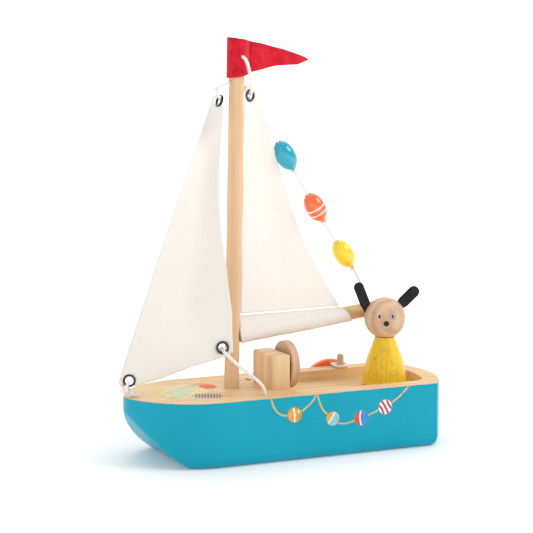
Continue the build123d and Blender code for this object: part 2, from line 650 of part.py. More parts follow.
with BuildPart() as captain_ear_left:
    with BuildSketch(EAR_PLANE):
        SlotCenterPoint(
            center=((LEFT_EAR[0][0] + LEFT_EAR[1][0]) / 2, (LEFT_EAR[0][1] + LEFT_EAR[1][1]) / 2),
            point=LEFT_EAR[1], height=EAR_WIDTH,
        )
    extrude(amount=EAR_THICK / 2, both=True)
finish(captain_ear_left.part, "captain_ear_left")

with BuildPart() as captain_ear_right:
    with BuildSketch(EAR_PLANE):
        SlotCenterPoint(
            center=((RIGHT_EAR[0][0] + RIGHT_EAR[1][0]) / 2,
                    (RIGHT_EAR[0][1] + RIGHT_EAR[1][1]) / 2),
            point=RIGHT_EAR[1], height=EAR_WIDTH,
        )
    extrude(amount=EAR_THICK / 2, both=True)
finish(captain_ear_right.part, "captain_ear_right")

with BuildPart() as captain_head:
    with Locations(HEAD_CENTRE):
        Sphere(HEAD_RADIUS)
    with BuildSketch(Plane.XY.offset(HEAD_CUT_Z)):
        with Locations((FIGURE_X, FIGURE_Y)):
            Rectangle(60, 60)
    extrude(amount=-20, mode=Mode.SUBTRACT)
    with BuildSketch(Plane.XY.offset(HEAD_CUT_Z - 1)):
        with Locations((FIGURE_X, FIGURE_Y)):
            Circle(NECK_DOWEL_RADIUS + RUN_CLEARANCE)
    extrude(amount=94 + END_GAP - HEAD_CUT_Z + 1, mode=Mode.SUBTRACT)
    add(captain_ear_left.part, mode=Mode.SUBTRACT)
    add(captain_ear_right.part, mode=Mode.SUBTRACT)
finish(captain_head.part, "captain_head")
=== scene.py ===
"""Looks of the toy sailing boat: painted hull, bare wood, canvas sails, felt, cords and the captain."""

from math import asin, cos, pi, radians, sin, sqrt

import bpy
from mathutils import Matrix, Vector, noise


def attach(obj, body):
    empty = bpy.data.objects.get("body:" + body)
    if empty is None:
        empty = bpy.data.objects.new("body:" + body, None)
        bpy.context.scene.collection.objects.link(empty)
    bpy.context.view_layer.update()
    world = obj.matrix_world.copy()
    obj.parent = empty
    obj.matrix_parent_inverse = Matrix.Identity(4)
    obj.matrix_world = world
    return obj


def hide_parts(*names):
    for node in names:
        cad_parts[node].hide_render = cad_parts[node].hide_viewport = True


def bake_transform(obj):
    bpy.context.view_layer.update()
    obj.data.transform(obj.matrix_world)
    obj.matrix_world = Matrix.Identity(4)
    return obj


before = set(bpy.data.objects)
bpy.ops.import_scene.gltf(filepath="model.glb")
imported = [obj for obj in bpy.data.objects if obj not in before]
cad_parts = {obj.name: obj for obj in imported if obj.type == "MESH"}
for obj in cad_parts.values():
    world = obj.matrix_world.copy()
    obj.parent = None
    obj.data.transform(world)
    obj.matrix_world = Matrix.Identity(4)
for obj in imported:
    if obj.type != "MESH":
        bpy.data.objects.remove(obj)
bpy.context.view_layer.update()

MM = 0.001


def mm(x, y, z):
    """A point given in millimetres."""
    return Vector((x, y, z)) * MM


def smooth(x):
    """0 below 0, 1 above 1, smooth between."""
    x = min(1.0, max(0.0, x))
    return x * x * (3 - 2 * x)


def along(table, x):
    """Reads a smooth value between the rows (place, value) of a short table."""
    if x <= table[0][0]:
        return table[0][1]
    for (x0, y0), (x1, y1) in zip(table, table[1:]):
        if x <= x1:
            return y0 + (y1 - y0) * (x - x0) / (x1 - x0)
    return table[-1][1]


def shaded(colour, share):
    """A colour made darker or lighter."""
    return tuple(min(1, c * share) for c in colour)


# ---------------------------------------------------------------- directions
RAKE, TURN = radians(1.15), radians(10)
FOOT = mm(0, -42.8, 52.5)
UP = Vector((0, sin(RAKE), cos(RAKE)))
AFT = Vector((-sin(TURN), cos(TURN), 0))
AFT = (AFT - UP * AFT.dot(UP)).normalized()
PORT = AFT.cross(UP)


def rig(aft, up, port=0.0):
    """A point in the rig's own directions, in millimetres from the mast's foot."""
    return FOOT + (AFT * aft + UP * up + PORT * port) * MM


BOOM_DIR = (AFT + UP * 0.0853).normalized()
BOOM_UP = (UP - BOOM_DIR * UP.dot(BOOM_DIR)).normalized()
BOOM_AT = rig(6.6, 42.5)

TACK, HEAD, CLEW = mm(0, -129.6, 65.3), mm(0, -52.4, 281.2), mm(22, -59.8, 89.8)
LUFF = (HEAD - TACK).normalized()
CHORD = (CLEW - TACK - LUFF * (CLEW - TACK).dot(LUFF)).normalized()
JIB_PORT = CHORD.cross(LUFF)


def jib_at(start, chord, luff, port):
    """A point near one of the jib's eyelets, in the jib's own directions."""
    return start + (CHORD * chord + LUFF * luff + JIB_PORT * port) * MM


# ---------------------------------------------------------------- materials
def new_material(name, roughness, coat=0.0, sheen=0.0, specular=0.5):
    """An empty Principled material with its node tree and shader."""
    mat = bpy.data.materials.new(name)
    mat.use_nodes = True
    tree = mat.node_tree
    bsdf = tree.nodes["Principled BSDF"]
    bsdf.inputs["Roughness"].default_value = roughness
    bsdf.inputs["Coat Weight"].default_value = coat
    bsdf.inputs["Coat Roughness"].default_value = 0.08
    bsdf.inputs["Sheen Weight"].default_value = sheen
    bsdf.inputs["Specular IOR Level"].default_value = specular
    return mat, tree, bsdf


def texture_point(tree, scale=(1, 1, 1), turn=(0, 0, 0), source="Object"):
    """Texture coordinates of the piece, stretched and turned."""
    coords = tree.nodes.new("ShaderNodeTexCoord")
    mapping = tree.nodes.new("ShaderNodeMapping")
    mapping.inputs["Scale"].default_value = scale
    mapping.inputs["Rotation"].default_value = turn
    tree.links.new(coords.outputs[source], mapping.inputs["Vector"])
    return mapping.outputs["Vector"]


def noise_node(tree, vector, scale, detail=4.0, rough=0.55):
    """A noise texture's value."""
    n = tree.nodes.new("ShaderNodeTexNoise")
    n.inputs["Scale"].default_value = scale
    n.inputs["Detail"].default_value = detail
    n.inputs["Roughness"].default_value = rough
    tree.links.new(vector, n.inputs["Vector"])
    return n.outputs["Fac"]


def wave_node(tree, vector, scale, distortion=0.0, detail=2.0, axis="X", detail_scale=1.0):
    """A banded wave texture's value."""
    n = tree.nodes.new("ShaderNodeTexWave")
    n.bands_direction = axis
    n.inputs["Scale"].default_value = scale
    n.inputs["Distortion"].default_value = distortion
    n.inputs["Detail"].default_value = detail
    n.inputs["Detail Scale"].default_value = detail_scale
    tree.links.new(vector, n.inputs["Vector"])
    return n.outputs["Fac"]


def ramp(tree, value, *stops):
    """A colour ramp from (place, colour) stops; a plain number makes a grey."""
    n = tree.nodes.new("ShaderNodeValToRGB")
    els = n.color_ramp.elements
    while len(els) < len(stops):
        els.new(0.5)
    for el, (place, colour) in zip(els, stops):
        el.position = place
        el.color = (*colour, 1) if hasattr(colour, "__len__") else (colour, colour, colour, 1)
    tree.links.new(value, n.inputs["Fac"])
    return n.outputs["Color"]


def maths(tree, operation, a, b=0.0):
    """A maths node on values or numbers."""
    n = tree.nodes.new("ShaderNodeMath")
    n.operation = operation
    for socket, value in zip(n.inputs, (a, b)):
        if hasattr(value, "default_value"):
            tree.links.new(value, socket)
        else:
            socket.default_value = value
    return n.outputs[0]


def times(tree, a, b):
    """The product of two values or numbers."""
    return maths(tree, "MULTIPLY", a, b)


def plus(tree, a, b):
    """The sum of two values or numbers."""
    return maths(tree, "ADD", a, b)


def split(tree, vector):
    """The X, Y and Z values of a vector."""
    n = tree.nodes.new("ShaderNodeSeparateXYZ")
    tree.links.new(vector, n.inputs[0])
    return n.outputs


def mix(tree, factor, a, b):
    """A colour mix of two colours or sockets."""
    n = tree.nodes.new("ShaderNodeMix")
    n.data_type = "RGBA"
    for socket, value in ((n.inputs["Factor"], factor), (n.inputs[6], a), (n.inputs[7], b)):
        if hasattr(value, "default_value"):
            tree.links.new(value, socket)
        elif hasattr(value, "__len__"):
            socket.default_value = (*value, 1)
        else:
            socket.default_value = value
    return n.outputs[2]


def bump(tree, bsdf, height, distance, strength=1.0):
    """Relief of the given depth in metres on the shader's normal."""
    n = tree.nodes.new("ShaderNodeBump")
    n.inputs["Distance"].default_value = distance
    n.inputs["Strength"].default_value = strength
    tree.links.new(height, n.inputs["Height"])
    tree.links.new(n.outputs["Normal"], bsdf.inputs["Normal"])


def wood_colour(tree, light, dark, grain="Y", seed=0.0, band=1.0, fleck=0.0, turn=(0, 0, 0)):
    """Colour and relief of sanded wood whose grain runs along one axis."""
    long, across = 1.0, 14.0
    scale = {"X": (long, across, across), "Y": (across, long, across), "Z": (across, across, long)}
    point = texture_point(tree, scale[grain], turn)
    shift = tree.nodes.new("ShaderNodeVectorMath")
    shift.operation = "ADD"
    shift.inputs[1].default_value = (seed, seed * 0.7, seed * 1.3)
    tree.links.new(point, shift.inputs[0])
    point = shift.outputs[0]
    broad = noise_node(tree, point, 9.0, 3.0, 0.5)
    rings = wave_node(tree, point, 3.2 * band, 5.0, 3.0, "X" if grain != "X" else "Y", 1.4)
    fine = noise_node(tree, point, 70.0, 5.0, 0.65)
    value = plus(tree, times(tree, broad, 0.45), plus(tree, times(tree, rings, 0.22), times(tree, fine, 0.33)))
    middle = tuple((a + b) / 2 for a, b in zip(light, dark))
    colour = ramp(tree, value, (0.28, dark), (0.48, middle), (0.68, light))
    if fleck:
        spots = noise_node(tree, texture_point(
            tree, {"X": (60, 260, 260), "Y": (260, 60, 260), "Z": (260, 260, 60)}[grain]), 6.0, 1.0)
        mask = ramp(tree, spots, (0.62, 0.0), (0.72, 1.0))
        colour = mix(tree, times(tree, mask, fleck), colour, shaded(dark, 0.55))
    return colour, fine


def wood(name, light, dark, grain="Y", seed=0.0, rough=0.5, fleck=0.0, band=1.0, turn=(0, 0, 0)):
    """Sanded wood."""
    mat, tree, bsdf = new_material(name, rough, specular=0.35)
    colour, fine = wood_colour(tree, light, dark, grain, seed, band, fleck, turn)
    tree.links.new(colour, bsdf.inputs["Base Color"])
    bump(tree, bsdf, fine, 0.00012, 0.5)
    return mat


def paint(name, colour, rough=0.35, coat=0.0, vary=0.06, relief=0.00005):
    """Opaque paint with faint unevenness."""
    mat, tree, bsdf = new_material(name, rough, coat)
    point = texture_point(tree)
    broad = noise_node(tree, point, 38.0, 3.0)
    tone = ramp(tree, broad, (0.3, shaded(colour, 1 - vary)), (0.7, shaded(colour, 1 + vary)))
    speck = ramp(tree, noise_node(tree, point, 900.0, 2.0), (0.72, 0.0), (0.8, 1.0))
    tone = mix(tree, times(tree, speck, 0.25), tone, shaded(colour, 0.75))
    tree.links.new(tone, bsdf.inputs["Base Color"])
    bump(tree, bsdf, noise_node(tree, point, 420.0, 3.0), relief, 0.5)
    return mat


PINE_LIGHT, PINE_DARK = (0.88, 0.635, 0.365), (0.66, 0.41, 0.195)


def inside_box(tree, place, middle_y, half_x, half_y, low):
    """1 inside a box across the centre plane and above a height, 0 elsewhere; metres."""
    x = maths(tree, "LESS_THAN", maths(tree, "ABSOLUTE", place["X"]), half_x)
    y = maths(tree, "LESS_THAN", maths(tree, "ABSOLUTE", plus(tree, place["Y"], -middle_y)), half_y)
    return times(tree, times(tree, x, y), maths(tree, "GREATER_THAN", place["Z"], low))


def hull_material():
    """Turquoise paint on the hull's sides and bottom; bare wood on the deck and in the cockpit."""
    mat, tree, bsdf = new_material("hull_paint_and_wood", 0.4, 0.0, specular=0.22)
    colour, fine = wood_colour(tree, PINE_LIGHT, PINE_DARK, "Y", 3.1, 1.0, 0.25)
    point = texture_point(tree)
    blue = (0.0, 0.360, 0.495)
    tone = ramp(tree, noise_node(tree, point, 22.0, 3.0), (0.3, shaded(blue, 0.95)), (0.7, shaded(blue, 1.05)))
    speck = ramp(tree, noise_node(tree, point, 800.0, 2.0), (0.74, 0.0), (0.8, 1.0))
    tone = mix(tree, times(tree, speck, 0.3), tone, (0.0, 0.25, 0.36))
    place = split(tree, point)
    wobble = times(tree, noise_node(tree, point, 260.0, 2.0), 0.0006)
    top = maths(tree, "GREATER_THAN", plus(tree, place["Z"], wobble), 0.05245)
    well = inside_box(tree, place, 0.0586, 0.0366, 0.0625, 0.0440)
    bores = inside_box(tree, place, 0.0, 0.0450, 0.0900, 0.0200)
    bare = maths(tree, "MAXIMUM", maths(tree, "MAXIMUM", top, well), bores)
    tree.links.new(mix(tree, bare, tone, colour), bsdf.inputs["Base Color"])
    rough = plus(tree, 0.33, times(tree, bare, 0.2))
    tree.links.new(rough, bsdf.inputs["Roughness"])
    bump(tree, bsdf, fine, 0.00010, 0.4)
    return mat


def canvas(name, colour, pitch=0.00062):
    """Plain-weave cotton with slubs and brown specks, woven in the cloth's own coordinates."""
    mat, tree, bsdf = new_material(name, 0.92, sheen=0.15, specular=0.2)
    point = texture_point(tree, source="UV")
    warp, weft = (wave_node(tree, point, 1 / pitch / 20, 0.25, 2.0, axis, 6.0) for axis in "XY")
    weave = plus(tree, warp, weft)
    slub_x = noise_node(tree, texture_point(tree, (30, 1100, 1), source="UV"), 1.0, 3.0)
    slub_y = noise_node(tree, texture_point(tree, (1100, 30, 1), source="UV"), 1.0, 3.0)
    slub = plus(tree, slub_x, slub_y)
    tone = ramp(tree, times(tree, slub, 0.5), (0.38, shaded(colour, 0.965)), (0.62, colour))
    broad = ramp(tree, noise_node(tree, point, 30.0, 3.0), (0.35, 0.0), (0.75, 1.0))
    tone = mix(tree, times(tree, broad, 0.10), tone, (0.80, 0.70, 0.58))
    speck = ramp(tree, noise_node(tree, point, 520.0, 1.0), (0.73, 0.0), (0.77, 1.0))
    tone = mix(tree, times(tree, speck, 0.35), tone, (0.42, 0.30, 0.20))
    tree.links.new(tone, bsdf.inputs["Base Color"])
    height = plus(tree, times(tree, weave, 0.5), slub)
    bump(tree, bsdf, height, 0.00008, 0.45)
    return mat


def felt(name, colour, dark=0.72, sheen=0.4):
    """Pressed felt: matted fibres and a soft bloom."""
    mat, tree, bsdf = new_material(name, 0.95, sheen=sheen, specular=0.15)
    bsdf.inputs["Sheen Roughness"].default_value = 0.5
    point = texture_point(tree)
    fibres = noise_node(tree, point, 900.0, 6.0, 0.75)
    broad = noise_node(tree, point, 130.0, 3.0)
    value = plus(tree, times(tree, fibres, 0.6), times(tree, broad, 0.4))
    light = tuple(min(1, c * 1.12 + 0.01) for c in colour)
    tone = ramp(tree, value, (0.36, shaded(colour, dark)), (0.62, light))
    tree.links.new(tone, bsdf.inputs["Base Color"])
    bump(tree, bsdf, fibres, 0.0004, 0.7)
    return mat


def cotton(name, colour):
    """Fuzzy cotton cord."""
    mat, tree, bsdf = new_material(name, 0.9, sheen=0.3, specular=0.2)
    point = texture_point(tree)
    fibres = noise_node(tree, point, 1500.0, 4.0, 0.7)
    tone = ramp(tree, fibres, (0.3, shaded(colour, 0.86)), (0.6, colour))
    tree.links.new(tone, bsdf.inputs["Base Color"])
    bump(tree, bsdf, fibres, 0.00012, 0.6)
    return mat


def ink(name, colour, rough=0.6, vary=0.12, scale=300.0):
    """Printed ink with watercolour unevenness."""
    mat, tree, bsdf = new_material(name, rough, specular=0.3)
    value = noise_node(tree, texture_point(tree), scale, 4.0, 0.6)
    tone = ramp(tree, value, (0.35, shaded(colour, 1 - vary)), (0.65, shaded(colour, 1 + vary)))
    tree.links.new(tone, bsdf.inputs["Base Color"])
    bump(tree, bsdf, value, 0.00002, 0.3)
    return mat


HULL = hull_material()
DOWEL = wood("mast_beech", (0.86, 0.60, 0.37), (0.70, 0.44, 0.25), "Z", 1.0, fleck=0.15)
BOOM_WOOD = wood("boom_beech", (0.82, 0.54, 0.27), (0.66, 0.39, 0.17), "Y", 5.0, fleck=0.2)
BLOCK_WOOD = wood("block_pine", (0.86, 0.62, 0.36), (0.68, 0.43, 0.215), "Z", 8.0, band=0.45)
WHEEL_WOOD = wood("wheel_beech", (0.74, 0.49, 0.31), (0.54, 0.32, 0.19), "X", 2.0, fleck=0.8)
PEG_WOOD = wood("peg_beech", (0.76, 0.55, 0.36), (0.60, 0.40, 0.24), "Z", 4.0)
FACE_WOOD = wood("face_beech", (0.78, 0.54, 0.36), (0.55, 0.345, 0.22), "Z", 6.0, fleck=0.2, band=0.9)
CANVAS = canvas("canvas", (0.90, 0.85, 0.79))
CANVAS_HEM = canvas("canvas_hem", (0.84, 0.785, 0.73))
RED = felt("felt_red", (0.68, 0.007, 0.024), 0.66, 0.10)
BLACK_FELT = felt("felt_black", (0.018, 0.017, 0.020), 0.6, 0.25)
CORD = cotton("cotton_cord", (0.93, 0.90, 0.87))
THREAD = cotton("sewing_thread", (0.80, 0.75, 0.68))
RED_THREAD = cotton("red_thread", (0.22, 0.004, 0.010))
TEAL = paint("lacquer_teal", (0.0, 0.36, 0.49), 0.18, 0.7, relief=0.00003)
YELLOW = paint("lacquer_yellow", (0.93, 0.66, 0.012), 0.2, 0.85, relief=0.00003)
COAT = paint("paint_yellow", (0.90, 0.60, 0.010), 0.38, 0.15, 0.08)
ORANGE = paint("paint_orange", (0.90, 0.155, 0.035), 0.38, 0.2)


def striped_orange():
    """Orange lacquer with two white rings, along the bead's own axis."""
    mat, tree, bsdf = new_material("lacquer_orange", 0.18, 0.9)
    point = texture_point(tree)
    along_axis = split(tree, point)["Z"]
    rings = None
    for middle, half in ((-0.0008, 0.0006), (0.0042, 0.0005)):
        off = maths(tree, "ABSOLUTE", plus(tree, along_axis, -middle))
        ring = maths(tree, "LESS_THAN", off, half)
        rings = ring if rings is None else maths(tree, "MAXIMUM", rings, ring)
    base = ramp(tree, noise_node(tree, point, 60.0), (0.3, (0.86, 0.125, 0.02)), (0.7, (0.95, 0.16, 0.03)))
    tree.links.new(mix(tree, rings, base, (0.92, 0.86, 0.84)), bsdf.inputs["Base Color"])
    return mat


def enamel():
    """Glossy black enamel of the eyelets, worn a little."""
    mat, tree, bsdf = new_material("eyelet_enamel", 0.22, 0.6)
    bsdf.inputs["Metallic"].default_value = 0.4
    value = noise_node(tree, texture_point(tree), 700.0, 3.0)
    tree.links.new(ramp(tree, value, (0.3, (0.012, 0.012, 0.016)), (0.75, (0.035, 0.033, 0.042))),
                   bsdf.inputs["Base Color"])
    return mat


STRIPED = striped_orange()
EYELET = enamel()


# ---------------------------------------------------------------- mesh helpers
def piece(name, verts, faces, mat, body, uvs=None, flat=False):
    """A smooth or flat-shaded mesh piece, which rides on a body if one is given."""
    mesh = bpy.data.meshes.new(name)
    mesh.from_pydata([tuple(v) for v in verts], [], faces)
    mesh.materials.append(mat)
    mesh.polygons.foreach_set("use_smooth", [not flat] * len(mesh.polygons))
    if uvs:
        layer = mesh.uv_layers.new(name="UVMap")
        for loop in mesh.loops:
            layer.data[loop.index].uv = uvs[loop.vertex_index]
    mesh.update()
    obj = bpy.data.objects.new(name, mesh)
    bpy.context.scene.collection.objects.link(obj)
    if body:
        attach(obj, body)
    return obj


def modify(obj, kind, **settings):
    """Adds a modifier."""
    mod = obj.modifiers.new(kind.title(), kind)
    for key, value in settings.items():
        setattr(mod, key, value)
    return mod


def bake_modifiers(obj):
    """Applies a piece's modifiers to its mesh."""
    graph = bpy.context.evaluated_depsgraph_get()
    mesh = bpy.data.meshes.new_from_object(obj.evaluated_get(graph))
    obj.modifiers.clear()
    obj.data = mesh


def grid_faces(rows, cols, wrap_rows=False, wrap_cols=False, base=0):
    """Quads of a grid of vertices laid out row by row."""
    faces = []
    for i in range(rows if wrap_rows else rows - 1):
        for j in range(cols if wrap_cols else cols - 1):
            a, b = i * cols + j, i * cols + (j + 1) % cols
            c, d = ((i + 1) % rows) * cols + (j + 1) % cols, ((i + 1) % rows) * cols + j
            faces.append((base + a, base + b, base + c, base + d))
    return faces


def lathe(name, profile, origin, axis, mat, body, segments, local=False):
    """A closed turned piece from (radius, along) points in millimetres; local keeps its own axes."""
    axis = axis.normalized()
    side = axis.orthogonal().normalized()
    other = axis.cross(side)
    turn = Matrix((side, other, axis)).transposed()
    verts = []
    for k in range(segments):
        a = 2 * pi * k / segments
        for r, h in profile:
            verts.append(Vector((r * cos(a), r * sin(a), h)) * MM)
    faces = grid_faces(segments, len(profile), True, True)
    if not local:
        return piece(name, [origin + turn @ v for v in verts], faces, mat, body)
    obj = piece(name, verts, faces, mat, None)
    obj.matrix_world = Matrix.Translation(origin) @ turn.to_4x4()
    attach(obj, body)
    return obj


def centreline(route):
    """Points of the smooth NURBS line that a cord's route makes."""
    curve = bpy.data.curves.new("route", "CURVE")
    curve.dimensions = "3D"
    curve.resolution_u = 20
    spline = curve.splines.new("NURBS")
    spline.points.add(len(route) - 1)
    for point, place in zip(spline.points, route):
        point.co = (*place, 1)
    spline.order_u = 3
    spline.use_endpoint_u = True
    obj = bpy.data.objects.new("route", curve)
    mesh = bpy.data.meshes.new_from_object(obj)
    points = [v.co.copy() for v in mesh.vertices]
    bpy.data.objects.remove(obj)
    bpy.data.meshes.remove(mesh)
    bpy.data.curves.remove(curve)
    return points


def evenly(points, step):
    """The same line with points a fixed step apart."""
    lengths = [0.0]
    for a, b in zip(points, points[1:]):
        lengths.append(lengths[-1] + (b - a).length)
    count = max(8, round(lengths[-1] / step))
    out, k = [], 0
    for i in range(count + 1):
        want = lengths[-1] * i / count
        while k < len(points) - 2 and lengths[k + 1] < want:
            k += 1
        share = (want - lengths[k]) / max(1e-12, lengths[k + 1] - lengths[k])
        out.append(points[k].lerp(points[k + 1], min(1.0, share)))
    return out


def grid_rim(rows, cols):
    """A grid's vertices round its edge, in order."""
    return ([*range(cols)] + [j * cols + cols - 1 for j in range(1, rows)]
            + [(rows - 1) * cols + k for k in range(cols - 2, -1, -1)]
            + [j * cols for j in range(rows - 2, 0, -1)])


def layered_faces(rows, cols, layers):
    """Faces of a solid made of grids laid one over the other: the two outer grids and the rims between."""
    size = rows * cols
    faces = [f[::-1] for f in grid_faces(rows, cols)] + grid_faces(rows, cols, base=(layers - 1) * size)
    rim = grid_rim(rows, cols)
    for n in range(layers - 1):
        low, high = n * size, (n + 1) * size
        faces += [(low + a, low + b, high + b, high + a) for a, b in zip(rim, rim[1:] + rim[:1])]
    return faces


def frames(points):
    """Directions across a line at each of its points, turning as little as they can."""
    tangents = [(b - a).normalized() for a, b in zip(points[:1] + points[:-1], points[1:] + points[-1:])]
    tangents[0] = (points[1] - points[0]).normalized()
    normal = tangents[0].orthogonal().normalized()
    result = []
    for t in tangents:
        normal = (normal - t * normal.dot(t)).normalized()
        result.append((normal.copy(), t.cross(normal)))
    return result


def tube(points, radius, sides=8, base=0, taper=None):
    """Vertices and faces of a closed-ended tube along points."""
    verts, faces = [], []
    for i, (p, (n, b)) in enumerate(zip(points, frames(points))):
        r = radius * (taper(i / (len(points) - 1)) if taper else 1.0)
        for k in range(sides):
            a = 2 * pi * k / sides
            verts.append(p + (n * cos(a) + b * sin(a)) * r)
    faces = grid_faces(len(points), sides, False, True, base)
    faces.append(tuple(base + k for k in range(sides))[::-1])
    faces.append(tuple(base + (len(points) - 1) * sides + k for k in range(sides)))
    return verts, faces


def rope(name, route, diameter, body, mat=None, lay=3.4, smooth_route=True):
    """A three-strand twisted cord along a route; returns the piece and its centreline."""
    line = evenly(centreline(route) if smooth_route else route, diameter * 0.2)
    across = frames(line)
    verts, faces = [], []
    run = 0.0
    turns = []
    for i, p in enumerate(line):
        run += (p - line[i - 1]).length if i else 0.0
        turns.append(2 * pi * run / (diameter * lay))
    for strand in range(3):
        core = [p + (n * cos(t + strand * 2 * pi / 3) + b * sin(t + strand * 2 * pi / 3)) * diameter * 0.225
                for p, (n, b), t in zip(line, across, turns)]
        more, quads = tube(core, diameter * 0.275, 9, len(verts))
        verts += more
        faces += quads
    return piece(name, verts, faces, mat or CORD, body), line


def knot(name, centre, direction, size, thickness, body, turn=0.0):
    """An overhand knot pulled tight, as a closed rope loop."""
    direction = direction.normalized()
    side = direction.orthogonal().normalized()
    side.rotate(Matrix.Rotation(turn, 3, direction))
    other = direction.cross(side)
    points = []
    for i in range(73):
        t = 2 * pi * i / 72
        x, y, z = sin(t) + 2 * sin(2 * t), cos(t) - 2 * cos(2 * t), -sin(3 * t)
        points.append(centre + (side * x * 0.30 + other * y * 0.30 + direction * z * 0.62) * size * MM)
    return rope(name, points, thickness * MM, body, smooth_route=False)[0]


def eyelet(name, centre, normal, body):
    """A rolled eyelet and its washer on the cloth's other side, as one closed turned rim."""
    front = [(3.2, 0.0), (3.2, 0.55), (3.36, 0.95), (3.75, 1.2), (4.25, 1.25), (4.75, 1.05), (5.05, 0.7),
             (5.1, 0.40), (4.6, 0.37), (3.6, 0.36), (3.6, -0.36), (4.6, -0.37), (5.1, -0.40),
             (5.0, -0.7), (4.6, -0.95), (4.1, -1.0), (3.6, -0.9), (3.3, -0.6), (3.2, -0.3)]
    obj = lathe(name, front, centre, normal, EYELET, body, 48)
    modify(obj, "SUBSURF", levels=1, render_levels=1)
    bake_modifiers(obj)
    return obj


def set_material(node, mat):
    """Gives a CAD node's object one material."""
    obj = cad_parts[node]
    obj.data.materials.clear()
    obj.data.materials.append(mat)


# ---------------------------------------------------------------- camera and stage
camera_data = bpy.data.cameras.new("camera")
camera_data.lens = 132.0
camera_data.sensor_width = 36.0
camera_data.dof.use_dof = False
camera = bpy.data.objects.new("camera", camera_data)
bpy.context.scene.collection.objects.link(camera)
camera.location = (1.4071, -0.6506, 0.3655)
look = Vector((0, -0.0121, 0.1484)) - camera.location
camera.rotation_euler = look.to_track_quat("-Z", "Y").to_euler()
bpy.context.scene.camera = camera


def area_light(name, place, target, size, power):
    """A soft square light."""
    data = bpy.data.lights.new(name, "AREA")
    data.size = size
    data.energy = power
    obj = bpy.data.objects.new(name, data)
    bpy.context.scene.collection.objects.link(obj)
    obj.location = place
    obj.rotation_euler = (Vector(target) - Vector(place)).to_track_quat("-Z", "Y").to_euler()


area_light("key", (0.95, 1.25, 1.2), (0, 0, 0.12), 0.8, 12)
area_light("fill", (1.2, -1.5, 0.9), (0, 0, 0.12), 1.4, 4)
area_light("top", (-0.1, -0.1, 1.9), (0, 0, 0.1), 1.6, 8)
world = bpy.data.worlds.new("studio")
world.use_nodes = True
world.node_tree.nodes["Background"].inputs["Color"].default_value = (1, 1, 1, 1)
world.node_tree.nodes["Background"].inputs["Strength"].default_value = 0.54
bpy.context.scene.world = world
bpy.context.scene.view_settings.view_transform = "Standard"

floor_mat, floor_tree, floor_bsdf = new_material("floor_paper", 0.9, specular=0.1)
floor_bsdf.inputs["Base Color"].default_value = (0.93, 0.93, 0.93, 1)
floor_bsdf.inputs["Emission Color"].default_value = (1, 1, 1, 1)
# painted light and shade: the floor glows, dimly near the boat and brighter further from it, which paints shade
# on the floor round the boat
far = floor_tree.nodes.new("ShaderNodeVectorMath")
far.operation = "LENGTH"
floor_tree.links.new(texture_point(floor_tree), far.inputs[0])
painted_floor_glow_and_shade = ramp(floor_tree, times(floor_tree, far.outputs["Value"], 0.5), (0.06, 0.14), (0.35, 0.6))
floor_tree.links.new(painted_floor_glow_and_shade, floor_bsdf.inputs["Emission Strength"])
# the floor runs level towards the camera and curves up behind the boat
FLOOR_PROFILE = ((6, 0), (-1.0, 0), (-1.8, 0.02), (-2.4, 0.2), (-2.8, 0.6), (-3.0, 1.2), (-3.0, 5))
floor = piece("floor", [(x, y, z) for x, z in FLOOR_PROFILE for y in (-6, 6)],
              grid_faces(len(FLOOR_PROFILE), 2), floor_mat, None)
floor.rotation_euler = (0, 0, radians(-24))

# ---------------------------------------------------------------- CAD nodes that stay
for node_name, mat in (
    ("hull", HULL), ("mast", DOWEL), ("boom", BOOM_WOOD), ("boom_dowel", BOOM_WOOD),
    ("helm_block", BLOCK_WOOD), ("helm_dowels", BLOCK_WOOD), ("helm_axle", PEG_WOOD),
    ("helm_wheel", WHEEL_WOOD), ("lifebuoy_peg", PEG_WOOD), ("lifebuoy", ORANGE),
    ("captain_body", COAT), ("captain_neck_dowel", PEG_WOOD), ("captain_head", FACE_WOOD),
):
    set_material(node_name, mat)

# ---------------------------------------------------------------- cloth helpers
CLOTH_THICK = 0.0006


def thicken(cloth):
    """Gives a canvas its thickness, half to each side."""
    modify(cloth, "SOLIDIFY", thickness=CLOTH_THICK, offset=0)
    bake_modifiers(cloth)


def cut_hole(verts, uvs, faces, holes, radius=4.3):
    """Cuts round holes out of a cloth for its eyelets; uvs are the cloth's own flat coordinates."""
    for (u, v), across, upward in holes:
        centre = Vector((u, v)) * MM
        kept, gone = [], set()
        for face in faces:
            middle = sum((Vector(uvs[i]) for i in face), Vector((0, 0))) / len(face)
            if (middle - centre).length < radius * MM:
                gone.update(face)
            else:
                kept.append(face)
        used = {i for face in kept for i in face}
        for i in gone & used:
            off = Vector(uvs[i]) - centre
            move = off * (radius * MM / off.length - 1)
            verts[i] = verts[i] + across * move.x + upward * move.y
            uvs[i] = tuple(Vector(uvs[i]) + move)
        faces = kept
    order = {old: new for new, old in enumerate(sorted({i for face in faces for i in face}))}
    return ([verts[i] for i in order], [uvs[i] for i in order],
            [tuple(order[i] for i in face) for face in faces])


# ---------------------------------------------------------------- mainsail
LEECH = [(60, 104.5), (66, 100.8), (80, 92.3), (93.4, 85.0), (110, 75.0), (125, 67.5), (139, 61.3),
         (160, 51.6), (184, 40.4), (205, 32.4), (221, 26.4), (231, 20.6), (237, 17.6)]
LEECH_OUT = [(58, 0), (70, -2), (93, -6), (110, -7.6), (138, -7.8), (160, -5.5), (184, -2.4),
             (205, -1.2), (221, -0.6), (241, 0)]
HEAD_FROM, HEAD_TALL, HEAD_IN = 237, 4.2, 3.0    # where the rounded head starts, its height and narrowing
LUFF_AFT = 7.2
SAIL_TOP = 241.1
SEAM_LOW = 59.2


def hem_top(aft):
    """Height of the hem's stitched edge along the boom."""
    return SEAM_LOW - 0.0085 * (aft - 9)


def head_round(up):
    """How much the rounded head narrows the mainsail on each side at a height."""
    return HEAD_IN * (1 - sqrt(max(0.0, 1 - ((up - HEAD_FROM) / HEAD_TALL) ** 2)))


